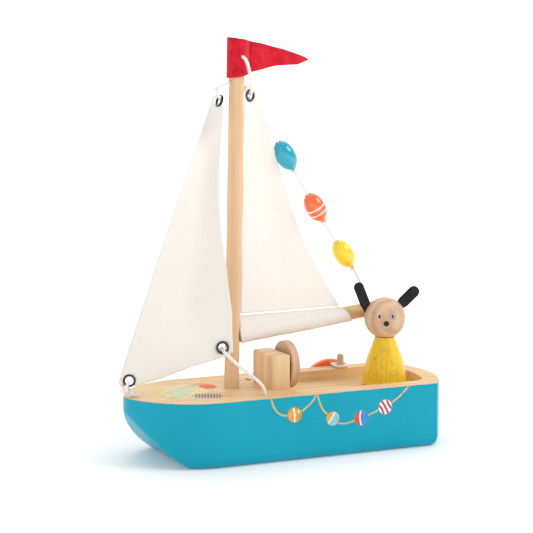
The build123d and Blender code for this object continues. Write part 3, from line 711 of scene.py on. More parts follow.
def sail_edge(up):
    """Aft edge of the mainsail at a height."""
    return along(LEECH, up) - (head_round(up) if up > HEAD_FROM else 0.0)


def luff_edge(up):
    """Fore edge of the mainsail at a height."""
    return LUFF_AFT + (head_round(up) if up > HEAD_FROM else 0.25 * sin(up * 0.09))


ROWS, COLS = 120, 44
verts, uvs = [], []
for i in range(ROWS):
    share = i / (ROWS - 1)
    for j in range(COLS):
        s = j / (COLS - 1)
        low = hem_top(7 + 98 * s)
        up = low + (SAIL_TOP - low) * share
        fore, aft_edge = luff_edge(up), sail_edge(up)
        aft = fore + (aft_edge - fore) * s
        out = along(LEECH_OUT, up) * smooth(s) ** 1.1
        belly = -2.6 * sin(pi * share) * sin(pi * s)
        folds = (0.5 * sin(aft * 0.16 + up * 0.035) + 0.35 * sin(aft * 0.07 - up * 0.05 + 1.3)) * sin(pi * s)
        folds *= smooth(share * 6) * smooth((1 - share) * 6)
        turned = -0.22 * (aft - 12.8) * smooth((up - 215) / 15)
        verts.append(rig(aft, up, (out + belly + folds) * smooth((234 - up) / 12) + turned))
        uvs.append((aft * MM, up * MM))
verts, uvs, faces = cut_hole(verts, uvs, grid_faces(ROWS, COLS), [((12.8, 232.6), AFT - PORT * 0.22, UP)])
sail = piece("mainsail_cloth", verts, faces, CANVAS, "rig", uvs)
thicken(sail)

# hem: the cloth goes round the boom and is stitched to itself on the port side
HEM_ROWS, HEM_COLS = 74, 40
verts, uvs = [], []
for i in range(HEM_ROWS):
    s = i / (HEM_ROWS - 1)
    for j in range(HEM_COLS):
        t = j / (HEM_COLS - 1)
        angle = pi / 2 + 2 * pi * t
        # the two flanks rise from the boom to the seam
        seam = 15.6 - 9.1924 * s
        ring = 6.95 + 0.16 * sin(9 * s + 5 * t) + 0.1 * sin(31 * s + 2 * t)
        port, height = ring * cos(angle), ring * sin(angle)
        lift = smooth(abs(2 * t - 1) * 2.6 - 1.6)
        port = port * (1 - lift) + (0.62 if port > 0 else -0.62) * lift
        height = height * (1 - lift) + seam * lift if lift > 0 else height
        slant = 108.6 + (5.0 - height) * 0.66
        front = 8.8 - 2.0 * (height + 7) / (seam + 7) - 0.68 * max(0.0, port)
        front = max(front, sqrt(max(0.0, 6.7 ** 2 - port ** 2)))
        aft = front + (slant - front) * s
        centre = BOOM_AT + BOOM_DIR * (aft - 6.6) * MM
        verts.append(centre + (PORT * port + BOOM_UP * height) * MM)
        uvs.append((aft * MM, t * 0.045))
hem = piece("mainsail_hem", verts, grid_faces(HEM_ROWS, HEM_COLS), CANVAS_HEM, "rig", uvs)
thicken(hem)


def stitches(name, points, normal, mat, body, length=2.0, gap=1.0, radius=0.13):
    """A row of short raised thread stitches along a line of points."""
    line = evenly(points, 0.0005)
    verts, faces = [], []
    step = (line[1] - line[0]).length / MM
    per, on = max(2, round((length + gap) / step)), max(2, round(length / step))
    for first in range(0, len(line) - on, per):
        part = line[first:first + on + 1]
        core = [p + normal * (sin(pi * k / on) * 0.16 + 0.02) * MM for k, p in enumerate(part)]
        more, quads = tube(core, radius * MM, 6, len(verts))
        verts += more
        faces += quads
    return piece(name, verts, faces, mat, body)


for name, side in (("hem_stitches", 1), ("hem_stitches_back", -1)):
    stitches(name, [rig(a, hem_top(a) - 1.6, 1.15 * side) for a in range(9, 105, 4)], PORT * side, THREAD,
             "rig")
main_eyelet = eyelet("mainsail_ring", rig(12.8, 232.6), PORT + AFT * 0.22, "rig")
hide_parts("mainsail_eyelet", "mainsail_washer")
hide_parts("mainsail")

# ---------------------------------------------------------------- jib
JIB_LUFF = [(-6, -4.0), (-3, -7.6), (20, -8.1), (55, -8.0), (140, -7.3), (200, -6.2), (225, -5.6),
            (231, -5.4), (234.5, -3.6)]
JIB_LEECH = [(46.2, 70.4), (60, 65.3), (75.1, 60.1), (95, 50.5), (114.7, 41.6), (132, 33.0),
             (150.5, 25.3), (174.2, 17.3), (195, 11.8), (209, 8.3), (222, 4.4), (231.3, 1.6), (234.5, 0.2)]
JIB_FOOT = [(-7.6, -5.2), (-4.0, -6.6), (6.8, -2.2), (25, 10.3), (43.1, 25.0), (60, 36.3), (66.2, 40.6),
            (70.6, 46.0)]


def head_twist(luff):
    """How steeply the cloth turns away from its own plane towards the head."""
    return 2.3 * smooth((luff - 196) / 30)


ROWS, COLS = 150, 48
verts, uvs = [], []
for i in range(ROWS):
    share = (i / (ROWS - 1)) ** 0.92
    for j in range(COLS):
        s = j / (COLS - 1)
        # the foot runs from the tack up to the clew, the leech from the clew to the head
        foot_chord = -7.4 + s * 77.8
        foot_luff = along(JIB_FOOT, foot_chord)
        luff = foot_luff + (234.6 - foot_luff) * share
        low, high = along(JIB_LUFF, luff), along(JIB_LEECH, max(46.2, luff))
        if luff < 46.2:
            high = 70.4
        chord = min(low + (high - low) * s, 70.6) if share > 0 else foot_chord
        wide = smooth((luff - 20) / 60) * smooth((225 - luff) / 60)
        out = head_twist(luff) * chord
        out -= 5.0 * sin(pi * s) * wide
        out += 1.5 * sin(chord * 0.13 + luff * 0.012) * wide * sin(pi * min(1, s * 1.15))
        out += 0.6 * sin(luff * 0.05 + 2 * s) * wide
        verts.append(jib_at(TACK, chord, luff, out))
        uvs.append((chord * MM, luff * MM))
flat_clew = ((CLEW - TACK).dot(CHORD) / MM, (CLEW - TACK).dot(LUFF) / MM)
flat_head = (0.0, (HEAD - TACK).length / MM)
verts, uvs, faces = cut_hole(verts, uvs, grid_faces(ROWS, COLS), [
    ((0.0, 0.0), CHORD, LUFF), (flat_clew, CHORD, LUFF), (flat_head, CHORD + JIB_PORT * 2.3, LUFF)])
jib = piece("jib_cloth", verts, faces, CANVAS, "hull", uvs)
thicken(jib)
twisted = (JIB_PORT - CHORD * 2.3).normalized()
rings = [eyelet("jib_ring_tack", TACK, JIB_PORT, "hull"), eyelet("jib_ring_clew", CLEW, JIB_PORT, "hull"),
         eyelet("jib_ring_head", HEAD, twisted, "hull")]
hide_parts("jib_eyelets", "jib_washers")
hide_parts("jib")

# ---------------------------------------------------------------- pennant
TOP = [(7.3, 275.9), (26.4, 272.9), (52.5, 266.7), (66.0, 262.6), (68.7, 260.9)]
LOW = [(7.3, 249.6), (13.5, 251), (38.3, 256.1), (57.7, 256.9), (66.0, 259.6), (68.7, 260.5)]


def flag_wave(aft, s):
    """How far the flag waves to port; s runs from its lower edge to its upper one."""
    return smooth((aft - 9) / 25) * (0.9 * sin(aft * 0.17) + 0.5 * sin(aft * 0.31 + 2 * s + 0.6)
                                     + 0.5 * (s - 0.5))


ROWS, COLS = 60, 16
verts, uvs = [], []
for i in range(ROWS):
    aft = 6.9 + 61.8 * i / (ROWS - 1)
    top, low = along(TOP, aft), along(LOW, aft)
    for j in range(COLS):
        s = j / (COLS - 1)
        up = low + (top - low) * s
        edge = 0.12 * noise.noise(Vector((aft * 0.7, s * 9, 1.0)))
        verts.append(rig(aft, up + edge, flag_wave(aft, s)))
        uvs.append((aft * MM, up * MM))
flag = piece("pennant_flag", verts, grid_faces(ROWS, COLS), RED, "rig", uvs)
modify(flag, "SOLIDIFY", thickness=0.0020, offset=0)
modify(flag, "BEVEL", width=0.0006, segments=2, limit_method="ANGLE")
bake_modifiers(flag)

# sleeve: one loop of felt round the masthead, closed in a seam behind it
ROWS, COLS = 22, 60
verts, uvs = [], []
for layer, radius in ((0, 6.15), (1, 7.95)):
    for i in range(ROWS):
        s = i / (ROWS - 1)
        for j in range(COLS):
            t = j / (COLS - 1)
            angle = -pi * (1 - 2 * t)
            aft, port = -radius * cos(angle), -radius * sin(angle)
            pull = smooth((abs(2 * t - 1) - 0.66) / 0.34)
            aft = aft * (1 - pull) + (9.6 + 1.4 * layer) * pull
            port = port * (1 - pull) + (0.15 + 1.5 * layer) * (1 if port > 0 else -1) * pull
            low = 246.4 + 0.17 * (aft + 8)
            high = 278.2 - 0.145 * (aft + 8.6)
            edge = 0.15 * noise.noise(Vector((angle * 2, s * 3, layer)))
            verts.append(rig(aft, low + (high - low) * s + edge, port))
            uvs.append((angle * 0.008, s * 0.03))
sleeve = piece("pennant_sleeve", verts, layered_faces(ROWS, COLS, 2), RED, "rig", uvs)
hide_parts("pennant")
for word, side in (("port", 1), ("star", -1)):
    stitches(f"pennant_seam_{word}", [rig(12.2, up, side * 1.05) for up in range(252, 275, 2)],
             PORT * side, RED_THREAD, "rig", 1.6, 0.8, 0.2)
    stitches(f"pennant_edge_{word}",
             [rig(a, along(TOP, a) - 2.2, side * 1.05 + flag_wave(a, 0.9)) for a in range(14, 60, 2)],
             PORT * side, RED_THREAD, "rig", 1.6, 0.8, 0.2)

# ---------------------------------------------------------------- cords of the rig
route = [rig(0, 263.3, 5.5), rig(0, 263.3, 11.0), rig(3.2, 256.0, 11.8), rig(8.4, 245.0, 7.6),
         rig(12.8, 233.8, 3.4), rig(12.8, 233.8, -3.4), rig(8.4, 245.0, -7.6), rig(3.2, 256.0, -11.8),
         rig(0, 263.3, -11.0), rig(0, 263.3, -5.5)]
halyard, line = rope("main_halyard_cord", route, 0.0028, "rig")
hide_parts("main_halyard")

route = [rig(12.8, 230.7, 0.6), rig(12.8, 230.7, -4.6), rig(26.0, 219.4, -3.8), rig(65.0, 162.0, -2.0),
         rig(94.4, 121.0, -1.2), rig(138.3, 63.6), rig(138.3, 41.4)]
garland, line = rope("garland_line", route, 0.0023, "rig")
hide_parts("garland_cord")
garland_knots = [knot("garland_knot_top", rig(14.2, 229.4, -4.6), AFT, 1.6, 2.1, "rig"),
                 knot("garland_knot_end", rig(138.3, 44.6), UP, 1.7, 2.0, "rig")]
BEADS = {"bead_teal": (mm(-11.3316, 9.6277, 235.606), Vector((-0.07204, 0.541063, -0.837891)), TEAL),
         "bead_orange": (mm(-15.4541, 38.4702, 192.056), Vector((-0.085584, 0.560138, -0.823966)), STRIPED),
         "bead_yellow": (mm(-19.7431, 66.5792, 152.03), Vector((-0.089146, 0.585009, -0.806113)), YELLOW)}
for name, (centre, axis, mat) in BEADS.items():
    profile = [(1.65, h) for h in (-12.4, -6, 0, 6, 12.4)] + [(1.9, 12.75), (2.5, 12.95), (3.2, 12.8)]
    for k in range(25):
        h = 12.45 - 24.9 * k / 24
        profile.append((8.4 * (1 - abs(h / 13.2) ** 2.15) ** 0.5, h))
    profile += [(3.2, -12.8), (2.5, -12.95), (1.9, -12.75)]
    bead = lathe(name + "_turned", profile, centre, axis, mat, name + "_body", 72, local=True)
    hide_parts(name)
    garland_knots.append(knot(name + "_knot", centre + axis * 16.1 * MM, axis, 1.75, 2.2, "rig",
                              turn=centre.z * 90))

# ---------------------------------------------------------------- cords of the jib
route = [rig(-5.2, 243.4), rig(-9.5, 242.2), jib_at(HEAD, -4.8, 8.2, 2.6), jib_at(HEAD, -3.2, 4.6, 4.6),
         jib_at(HEAD, -0.4, 1.6, 3.6), jib_at(HEAD, 0.6, 1.6, -3.4), jib_at(HEAD, -2.2, 4.6, -4.8),
         jib_at(HEAD, -4.4, 7.8, -1.0)]
jib_halyard, line = rope("jib_halyard_cord", route, 0.0026, None)
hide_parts("jib_halyard")
head_knot = knot("jib_halyard_knot", jib_at(HEAD, -4.6, 7.8, 1.6), LUFF, 1.55, 2.2, "hull", 0.6)
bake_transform(jib_halyard)

route = [mm(0, -126.5, 47), mm(0, -126.5, 56.1), jib_at(TACK, -0.6, -6.8, -3.8),
         jib_at(TACK, 0, -1.76, -3.8), jib_at(TACK, 0, -1.76, 3.8), jib_at(TACK, -1.6, -7.2, 3.4),
         mm(2.6, -132.0, 56.6), mm(4.6, -127.8, 54.5)]
tack_cord, line = rope("jib_tack_line", route, 0.0028, "hull")
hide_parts("jib_tack_cord", "jib_knots")
tack_knot = knot("jib_tack_knot", jib_at(TACK, -1.6, -8.2, 1.6), CHORD, 2.7, 3.0, "hull", 0.9)


FRAY_LOWEST = 0.0529                 # fibres lie on the deck, not in it


def frayed(name, start, direction, length, count, spread, body):
    """Loose fibres at a cord's cut end."""
    direction = direction.normalized()
    side = direction.orthogonal().normalized()
    other = direction.cross(side)
    verts, faces = [], []
    for k in range(count):
        a = 2 * pi * k * 0.618
        r = sqrt((k + 0.5) / count)
        reach = length * (0.7 + 0.3 * sin(k * 2.4))
        first = start + (side * cos(a) + other * sin(a)) * r * 1.1 * MM
        tip = first + (direction + (side * cos(a) + other * sin(a)) * spread * r) * reach * MM
        tip.z = max(tip.z, FRAY_LOWEST)
        middle = first.lerp(tip, 0.5) + (side * sin(a * 3) + other * cos(a * 2)) * 0.35 * MM
        middle.z = max(middle.z, FRAY_LOWEST)
        points = [first, first.lerp(middle, 0.55), middle, middle.lerp(tip, 0.6), tip]
        more, quads = tube(points, 0.24 * MM, 5, len(verts), lambda t: 1 - 0.55 * t)
        verts += more
        faces += quads
    return piece(name, verts, faces, CORD, body)


tails = [frayed("jib_tack_fray", mm(4.2, -128.4, 54.6), Vector((0.45, 0.88, -0.22)), 6.0, 26, 0.45, "hull"),
         frayed("jib_tack_fray_short", mm(3.4, -131.6, 57.0), Vector((0.75, 0.35, -0.35)), 4.2, 18, 0.5,
                "hull")]

route = [jib_at(CLEW, 0, -1.76, -5.2), jib_at(CLEW, 0.4, -1.76, 4.4), jib_at(CLEW, 12.0, -8.0, 4.0),
         mm(35.8, -35.5, 64.0), mm(37.4, -29.9, 56.7), mm(37.4, -29.9, 46.8)]
sheet_cord, line = rope("jib_sheet_cord", route, 0.0029, "hull")
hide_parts("jib_sheet")
clew_knot = knot("jib_sheet_knot", jib_at(CLEW, 0, -1.76, -4.4), JIB_PORT, 1.7, 2.2, "hull")

# ---------------------------------------------------------------- lifebuoy's cord
route = [mm(-50.6, 71.3, 54.2), mm(-46.5, 70.9, 54.25), mm(-40.5, 69.2, 54.25), mm(-35.2, 70.4, 54.25),
         mm(-34.9, 77.4, 54.25), mm(-40.4, 79.4, 54.25), mm(-45.2, 77.0, 54.25), mm(-47.6, 74.4, 54.25),
         mm(-50.6, 73.6, 54.2)]
loop, line = rope("lifebuoy_loop_cord", route, 0.0026, "lifebuoy_loop")
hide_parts("lifebuoy_cord")
stub = rope("lifebuoy_strand", [mm(-51.6, 72, 54), mm(-54.5, 72, 54), mm(-58.5, 72, 54)], 0.0027,
            "lifebuoy_disc")[0]
knot("lifebuoy_end_knot", mm(-60.0, 72, 54), Vector((1, 0, 0)), 1.6, 2.2, "lifebuoy_disc")
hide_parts("lifebuoy_knot")

# ---------------------------------------------------------------- captain
HEAD_AT = mm(0.8, 94.6, 99.7)
TO_EYE = Vector((0.8716, -0.4615, 0.165)).normalized()
EYE_SIDE = Vector((0.468, 0.884, 0)).normalized()
EYE_UP = TO_EYE.cross(EYE_SIDE)


def on_head(right, up, lift=0.06):
    """A point on the head, seen from the front: millimetres right of and above its middle."""
    depth = sqrt(17.1 ** 2 - right ** 2 - up ** 2) + lift
    return HEAD_AT + (EYE_SIDE * right + EYE_UP * up + TO_EYE * depth) * MM


BODY_SHAPE = [(45.1, 18.2), (49, 18.0), (55, 17.3), (60.8, 16.2), (66, 14.8), (72.6, 12.4), (79.5, 9.8),
              (84.1, 8.2)]
LEVEL_EYE = Vector((0.884, -0.468, 0))


def on_body(right, up, lift=0.07):
    """A point on the coat: millimetres right of its middle, at a height above the hull's bottom."""
    radius = along(BODY_SHAPE, up)
    a = asin(max(-0.98, min(0.98, right / radius)))
    out = LEVEL_EYE * cos(a) + EYE_SIDE * sin(a)
    return mm(0.8, 94.6, up) + out * (radius + lift) * MM


def drawn(name, lines, place, radius, mat, body):
    """Fine drawn lines on a curved surface, each a list of (right, up) points."""
    verts, faces = [], []
    for line in lines:
        dense = []
        for (x0, y0), (x1, y1) in zip(line, line[1:]):
            for k in range(6):
                dense.append(place(x0 + (x1 - x0) * k / 6, y0 + (y1 - y0) * k / 6, 0.0))
        dense.append(place(*line[-1], 0.0))
        more, quads = tube(dense, radius * MM, 6, len(verts))
        verts += more
        faces += quads
    return piece(name, verts, faces, mat, body)


def patch(name, centre, wide, high, place, mat, body, tilt=0.0, lift=0.05):
    """A flat oval painted on a curved surface."""
    verts, faces = [place(*centre, lift)], []
    rings, sides = 6, 40
    for r in range(1, rings + 1):
        for k in range(sides):
            a = 2 * pi * k / sides
            x, y = cos(a) * wide / 2 * r / rings, sin(a) * high / 2 * r / rings
            x, y = x * cos(tilt) - y * sin(tilt), x * sin(tilt) + y * cos(tilt)
            verts.append(place(centre[0] + x, centre[1] + y, lift * (1 if r < rings else 0.2)))
    for k in range(sides):
        faces.append((0, 1 + k, 1 + (k + 1) % sides))
    faces += grid_faces(rings, sides, False, True, 1)
    return piece(name, verts, [tuple(reversed(f)) if len(f) == 4 else f for f in faces], mat, body)


BLACK_INK = ink("black_ink", (0.012, 0.012, 0.014), 0.35)
GREY_INK = ink("grey_ink", (0.40, 0.36, 0.33), 0.5, 0.15)
COAT_INK = ink("coat_ink", (0.46, 0.30, 0.10), 0.6)
for name, centre, wide, high, mat, tilt, lift in (
    ("eye_grey_patch", (6.7, 1.7), 4.7, 7.8, GREY_INK, 0.28, 0.03),
    ("eye_left", (-4.3, 0.8), 1.7, 3.2, BLACK_INK, 0.0, 0.05),
    ("eye_right", (6.4, 1.0), 1.6, 2.7, BLACK_INK, 0.2, 0.08),
    ("nose", (1.3, -4.9), 4.7, 4.4, BLACK_INK, 0.0, 0.05),
):
    patch(name, centre, wide, high, on_head, mat, "captain_head_body", tilt, lift)
drawn("mouth", [[(0.4, -9.5), (0.9, -9.85), (1.6, -9.85), (2.3, -9.5)]], on_head, 0.16, BLACK_INK,
      "captain_head_body")
drawn("coat_lines", [
    [(-3.3, 47), (-2.4, 64), (-1.9, 75.9), (-1.5, 76.5), (2.0, 76.2), (2.4, 75.6), (1.9, 63), (1.0, 47)],
    [(-3.9, 77.4), (-3.8, 74.4), (-4.3, 72.2), (-5.9, 69.8), (-7.2, 68.2)],
    [(4.5, 77.2), (4.2, 74.5), (4.5, 70.7), (5.6, 66.0)],
    [(-11.4, 60.3), (-5.2, 58.1), (-5.8, 52), (-7.0, 49.0), (-8.2, 49.6), (-13.0, 51.8), (-12.9, 54),
     (-11.4, 60.3)],
    [(-12.0, 57.0), (-9.1, 54.9), (-5.8, 54.7)],
    [(4.4, 48.2), (4.4, 57.2), (10.6, 58.3), (11.2, 49.6), (11.0, 48.6)],
    [(4.5, 55.2), (7.6, 53.8), (10.9, 55.9)],
], on_body, 0.15, COAT_INK, "captain")
for k, (x, z) in enumerate(((-0.4, 74.6), (-0.7, 67.7), (-1.1, 60.8), (-1.5, 54.0))):
    patch(f"coat_button_{k}", (x, z), 1.1, 1.1, on_body, COAT_INK, "captain")
patch("drawstring_end_left", (-7.7, 67.7), 1.1, 2.4, on_body, COAT_INK, "captain", -0.9)
patch("drawstring_end_right", (6.2, 65.0), 1.1, 2.4, on_body, COAT_INK, "captain", 0.45)

FACE_DIR = Vector((sin(radians(70)), -cos(radians(70)), 0))
FACE_SIDE = Vector((cos(radians(70)), sin(radians(70)), 0))


def ear(name, node, root, tip, wide, bend):
    """A felt ear: a rounded strip, narrower at its root, curled a little."""
    root, tip = Vector(root), Vector(tip)
    way = (tip - root).normalized()
    side = Vector((-way.y, way.x))
    length = (tip - root).length + wide / 2
    outline = []
    for k in range(15):
        t = k / 14
        half = wide / 2 * (0.62 + 0.38 * smooth(t * 2.2))
        outline.append((t * (length - wide / 2), half))
    for k in range(1, 10):
        a = pi / 2 * (1 - k / 9)
        outline.append((length - wide / 2 + wide / 2 * cos(a), wide / 2 * sin(a)))
    verts = []
    layers = [(-1.3, 0.80), (-1.15, 0.95), (-0.6, 1.0), (0.6, 1.0), (1.15, 0.95), (1.3, 0.80)]
    across = 9
    for depth, scale in layers:
        for j in range(across):
            u = 2 * j / (across - 1) - 1
            for run, half in outline:
                p = root + way * (run if scale == 1 else run * 0.995) + side * u * half * scale
                curl = depth + bend * (run / length) ** 2
                edge = 0.06 * noise.noise(Vector((run * 0.8, u * 3, depth)))
                verts.append(HEAD_AT + (FACE_SIDE * p.x + Vector((0, 0, p.y)) + FACE_DIR * (curl + edge)) * MM)
    faces = layered_faces(across, len(outline), len(layers))
    obj = piece(name, verts, faces, BLACK_FELT, "captain_head_body")
    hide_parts(node)


ear("ear_left_felt", "captain_ear_left", (-13.0, 3.0), (-21.6, 25.4), 8.4, -1.2)
ear("ear_right_felt", "captain_ear_right", (9.4, 7.4), (23.8, 21.4), 9.4, -0.8)

# ---------------------------------------------------------------- prints on the hull's port side
ROPE_INK = ink("rope_ink", (0.72, 0.60, 0.20), 0.45, 0.35, 900.0)
ROPE_DARK = ink("rope_ink_dark", (0.48, 0.33, 0.10), 0.45, 0.2)
WHITE_INK = ink("white_ink", (0.86, 0.86, 0.84), 0.4, 0.05)
BROWN_INK = ink("edge_ink", (0.33, 0.22, 0.20), 0.5, 0.2)


def side_at(y, z, lift=0.04):
    """A point on the hull's flat port side."""
    return mm(51.0 + lift, y, z)


def ribbon(name, points, width, place, mat, lift):
    """A flat printed line."""
    verts = []
    for k, p in enumerate(points):
        a, b = Vector(points[max(0, k - 1)]), Vector(points[min(len(points) - 1, k + 1)])
        way = (b - a).normalized()
        half = width / 2 * (1 + 0.25 * sin(k * 1.7))
        verts.append(place(p[0] - way.y * half, p[1] + way.x * half, lift))
        verts.append(place(p[0] + way.y * half, p[1] - way.x * half, lift))
    return piece(name, verts, grid_faces(len(points), 2), mat, "hull", flat=True)


def curve2(points, count=14):
    """A smooth line through (u, v) points."""
    out = []
    ext = [points[0]] + list(points) + [points[-1]]
    for p0, p1, p2, p3 in zip(ext, ext[1:], ext[2:], ext[3:]):
        for k in range(count):
            t = k / count
            out.append(tuple(0.5 * (2 * b + (c - a) * t + (2 * a - 5 * b + 4 * c - d) * t * t
                                    + (3 * b - a - 3 * c + d) * t ** 3)
                             for a, b, c, d in zip(p0, p1, p2, p3)))
    return out + [tuple(points[-1])]


SWAGS = ([(-31.1, 52.0), (-29.6, 46.6), (-26.2, 41.2), (-21.5, 38.2), (-16.6, 37.4)],
         [(-5.4, 39.6), (0.0, 43.2), (5.2, 47.8), (7.4, 52.0)],
         [(8.8, 52.0), (11.0, 44.6), (14.2, 38.6), (17.6, 35.4)],
         [(26.6, 27.8), (32.0, 26.6), (37.4, 27.2), (42.2, 28.4)],
         [(53.0, 31.2), (58.4, 33.0), (63.4, 35.4)],
         [(74.6, 39.6), (80.2, 43.2), (86.0, 48.0), (90.2, 52.0)])
for k, swag in enumerate(SWAGS):
    line = curve2(swag)
    ribbon(f"swag_{k}", line, 1.4, side_at, ROPE_INK, 0.05)
    lays = []
    for p, q in zip(line[::3], line[2::3]):
        way = (Vector(q) - Vector(p)).normalized()
        c = (Vector(p) + Vector(q)) / 2
        across = Vector((-way.y, way.x))
        lays.append([c + way * 0.4 + across * 0.75, c + way * 0.8 + across * 0.75,
                     c - way * 0.4 - across * 0.75, c - way * 0.8 - across * 0.75])
    verts = [side_at(p.x, p.y, 0.08) for quad in lays for p in quad]
    piece(f"swag_lay_{k}", verts, [tuple(range(4 * n, 4 * n + 4)) for n in range(len(lays))], ROPE_DARK,
          "hull", flat=True)


def disc(name, centre, radius, inside, mat, lift):
    """The part of a disc on the port side where inside(u, v) holds, with u, v from -1 to 1."""
    verts, faces, index = [], [], {}
    cells = 46
    for i in range(-cells, cells):
        for j in range(-cells, cells):
            u, v = (i + 0.5) / cells, (j + 0.5) / cells
            if u * u + v * v > 1 or not inside(u, v):
                continue
            quad = []
            for a, b in ((i, j), (i + 1, j), (i + 1, j + 1), (i, j + 1)):
                if (a, b) not in index:
                    x, y = a / cells, b / cells
                    far = sqrt(x * x + y * y)
                    if far > 1:
                        x, y = x / far, y / far
                    index[a, b] = len(verts)
                    verts.append(side_at(centre[0] + x * radius, centre[1] + y * radius, lift))
                quad.append(index[a, b])
            faces.append(tuple(quad))
    return piece(name, verts, faces, mat, "hull", flat=True)


def everywhere(u, v):
    """The whole disc."""
    return True


BALL = {
    "amber": ink("ball_amber", (0.80, 0.36, 0.06), 0.45, 0.25, 500.0),
    "gold": ink("ball_gold", (0.80, 0.42, 0.06), 0.45, 0.2, 500.0),
    "sky": ink("ball_sky", (0.22, 0.62, 0.72), 0.45, 0.1, 400.0),
    "blue": ink("ball_blue", (0.05, 0.28, 0.66), 0.45, 0.2, 500.0),
    "red": ink("ball_red", (0.76, 0.09, 0.05), 0.45, 0.15, 500.0),
    "crimson": ink("ball_crimson", (0.55, 0.05, 0.07), 0.45, 0.15, 500.0),
}
BALLS = {"ball_a": ((-11.0, 37.6), 5.9), "ball_b": ((22.3, 31.6), 5.5), "ball_c": ((47.6, 29.8), 5.9),
         "ball_d": ((69.0, 36.9), 6.0)}
for name, (centre, radius) in BALLS.items():
    disc(name + "_rim", centre, radius + 0.4, everywhere, BROWN_INK, 0.06)
    disc(name + "_base", centre, radius, everywhere, WHITE_INK if name != "ball_a" else BALL["amber"], 0.09)
STRIPES = ((-0.56, 0.28), (0.0, 0.06), (0.58, -0.22))       # place and bow of ball d's stripes
for name, part, mat, inside in (
    ("ball_a", "stripe", WHITE_INK, lambda u, v: abs(u + 0.02 + 0.06 * v + 0.1 * v * v) < 0.12),
    ("ball_a", "glint", WHITE_INK, lambda u, v: abs(u - 0.55) < 0.10 and 0.15 < v < 0.62),
    ("ball_b", "gold", BALL["gold"], lambda u, v: u * 0.80 - v * 0.60 < -0.30 - 0.15 * v * v),
    ("ball_b", "sky", BALL["sky"],
     lambda u, v: u * 0.80 - v * 0.60 > -0.06 - 0.15 * v * v and u * u + v * v < 0.92),
    ("ball_c", "red", BALL["red"], lambda u, v: u < -0.32 + 0.16 * v * v - 0.04 * v),
    ("ball_c", "blue", BALL["blue"], lambda u, v: u > -0.08 + 0.16 * v * v - 0.04 * v),
    ("ball_d", "stripes", BALL["crimson"],
     lambda u, v: any(abs(u * 0.86 + v * 0.5 + bow * (0.5 * u - 0.86 * v) ** 2 - at) < 0.14
                      for at, bow in STRIPES)),
):
    disc(f"{name}_{part}", *BALLS[name], inside, mat, 0.12)


# ---------------------------------------------------------------- printed map on the fore deck
def deck_at(x, y, lift=0.04):
    """A point on the deck."""
    return mm(x, y, 52.5 + lift)


def outline_patch(name, outline, mat, lift, rough_edge=0.5, step=0.8):
    """A flat printed shape with a slightly uneven edge."""
    verts = []
    count = len(outline)
    for k in range(count):
        a, b = Vector(outline[k]), Vector(outline[(k + 1) % count])
        parts = max(1, round((b - a).length / step))
        for n in range(parts):
            p = a.lerp(b, n / parts)
            shift = noise.noise(Vector((p.x * 0.6, p.y * 0.6, lift * 50))) * rough_edge
            p += Vector((shift, noise.noise(Vector((p.y * 0.6, p.x * 0.6, 7.0))) * rough_edge))
            verts.append(deck_at(p.x, p.y, lift))
    return piece(name, verts, [tuple(range(len(verts)))], mat, "hull", flat=True)


def wash(name, colour, other, scale=60.0):
    """A watercolour wash of two tints over wood."""
    mat, tree, bsdf = new_material(name, 0.6, specular=0.3)
    point = texture_point(tree)
    value = noise_node(tree, point, scale, 5.0, 0.65)
    tree.links.new(ramp(tree, value, (0.38, colour), (0.62, other)), bsdf.inputs["Base Color"])
    bump(tree, bsdf, value, 0.00002, 0.3)
    return mat


PAPER = wash("map_paper", (0.74, 0.63, 0.25), (0.84, 0.66, 0.36))
GRASS = wash("map_grass", (0.60, 0.55, 0.16), (0.76, 0.60, 0.24), 90.0)
LAKE = wash("map_lake", (0.52, 0.62, 0.42), (0.66, 0.68, 0.50), 120.0)
SHORE = ink("map_shore", (0.22, 0.48, 0.55), 0.6)
EDGE = ink("map_edge", (0.62, 0.60, 0.50), 0.6)
POPPY = ink("map_red", (0.80, 0.15, 0.06), 0.6, 0.2, 700.0)
STROKE = ink("map_strokes", (0.16, 0.20, 0.22), 0.6, 0.3, 900.0)
STICK = ink("map_stick", (0.50, 0.28, 0.12), 0.6, 0.3, 500.0)
corners = [(-6, -116.8), (-32.3, -68.9), (5.5, -53.4), (30.3, -100.9)]
outline_patch("map_border", corners, EDGE, 0.03, 0.7)
inner = [(-5.6, -113.9), (-30.2, -69.6), (4.8, -55.4), (28.0, -100.4)]
outline_patch("map_ground", inner, PAPER, 0.05, 0.9)
outline_patch("map_verge", [(-5.6, -113.0), (-17.5, -92.5), (-12.0, -94.0), (-2.5, -104.5), (24.5, -97.5),
                            (27.2, -100.2)], GRASS, 0.07, 1.4)
outline_patch("map_verge_aft", [(4.2, -56.4), (-9.0, -61.8), (-3.0, -65.5), (6.0, -62.5), (12.0, -72.0),
                                (13.5, -71.5)], GRASS, 0.07, 1.4)
lake = [(-3.5, -96.5), (-8.5, -90.0), (-13.5, -79.5), (-12.5, -71.5), (-6.0, -72.0), (3.0, -79.5), (9.0, -82.5),
        (14.5, -91.5), (20.0, -97.0), (13.0, -99.0), (6.5, -95.8), (0.5, -97.5)]
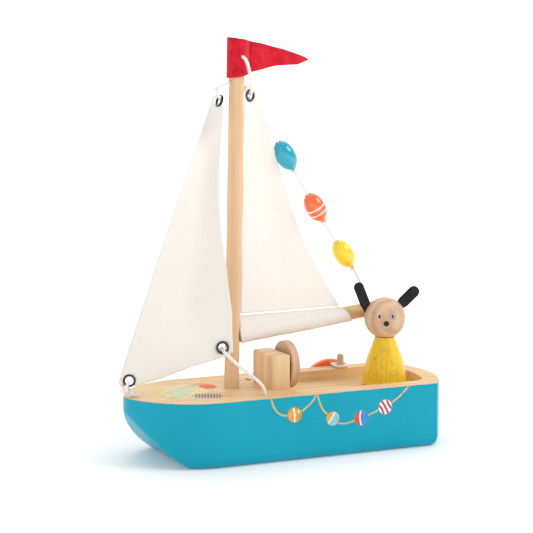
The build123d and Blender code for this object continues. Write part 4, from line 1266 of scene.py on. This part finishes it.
smooth_lake = curve2(lake + [lake[0]], 6)[:-1]
outline_patch("map_shore", [((x - 2.5) * 1.07 + 2.5, (y + 86) * 1.05 - 86) for x, y in smooth_lake], SHORE,
              0.09, 0.5)
outline_patch("map_lake", smooth_lake, LAKE, 0.11, 0.5)
outline_patch("map_pond", [(-22.0, -73.5), (-19.0, -71.0), (-16.0, -69.5), (-18.0, -73.0), (-20.5, -75.5)],
              LAKE, 0.09, 0.5)
star = []
for k in range(30):
    a = 2 * pi * k / 30
    r = 1.0 if k % 2 else 0.80
    star.append((-12 + 10.5 * cos(a) * r, -58.5 + (7.2 * sin(a) - 0.6 * cos(a)) * r))
outline_patch("map_red", star, POPPY, 0.10, 0.6)
tufts, tuft_faces = [], []
for k in range(22):
    base = Vector((-19.0 - 7.0 * (k % 11) / 10 + (2.5 if k > 10 else 0), -70.0 + 15.0 * (k % 11) / 10))
    tip = base + Vector((-7.5 - 2.5 * sin(k * 2.1), 2.4 + 1.6 * cos(k * 1.7)))
    n = len(tufts)
    tufts += [deck_at(base.x, base.y - 0.4, 0.09), deck_at(base.x, base.y + 0.4, 0.09), deck_at(*tip, 0.09)]
    tuft_faces.append((n, n + 1, n + 2))
piece("map_tufts", tufts, tuft_faces, GRASS, "hull", flat=True)
bars, bar_faces = [], []
for k in range(9):
    low = Vector((26.0 + 1.0 * k, -84.5 + 2.1 * k))
    high = low + Vector((-16.0, 6.4))
    n = len(bars)
    for corner in (low, low + Vector((0.45, 1.15)), high + Vector((0.45, 1.15)), high):
        bars.append(deck_at(corner.x, corner.y, 0.10))
    bar_faces.append((n, n + 1, n + 2, n + 3))
n = len(bars)
for corner in ((18.0, -84.5), (28.5, -62.5), (25.8, -61.3), (15.3, -83.3)):
    bars.append(deck_at(*corner, 0.12))
bar_faces.append((n, n + 1, n + 2, n + 3))
piece("map_strokes", bars, bar_faces, STROKE, "hull", flat=True)
outline_patch("map_stick", [(26.0, -64.2), (27.2, -64.4), (30.6, -55.8), (29.7, -55.0)], STICK, 0.10, 0.3)
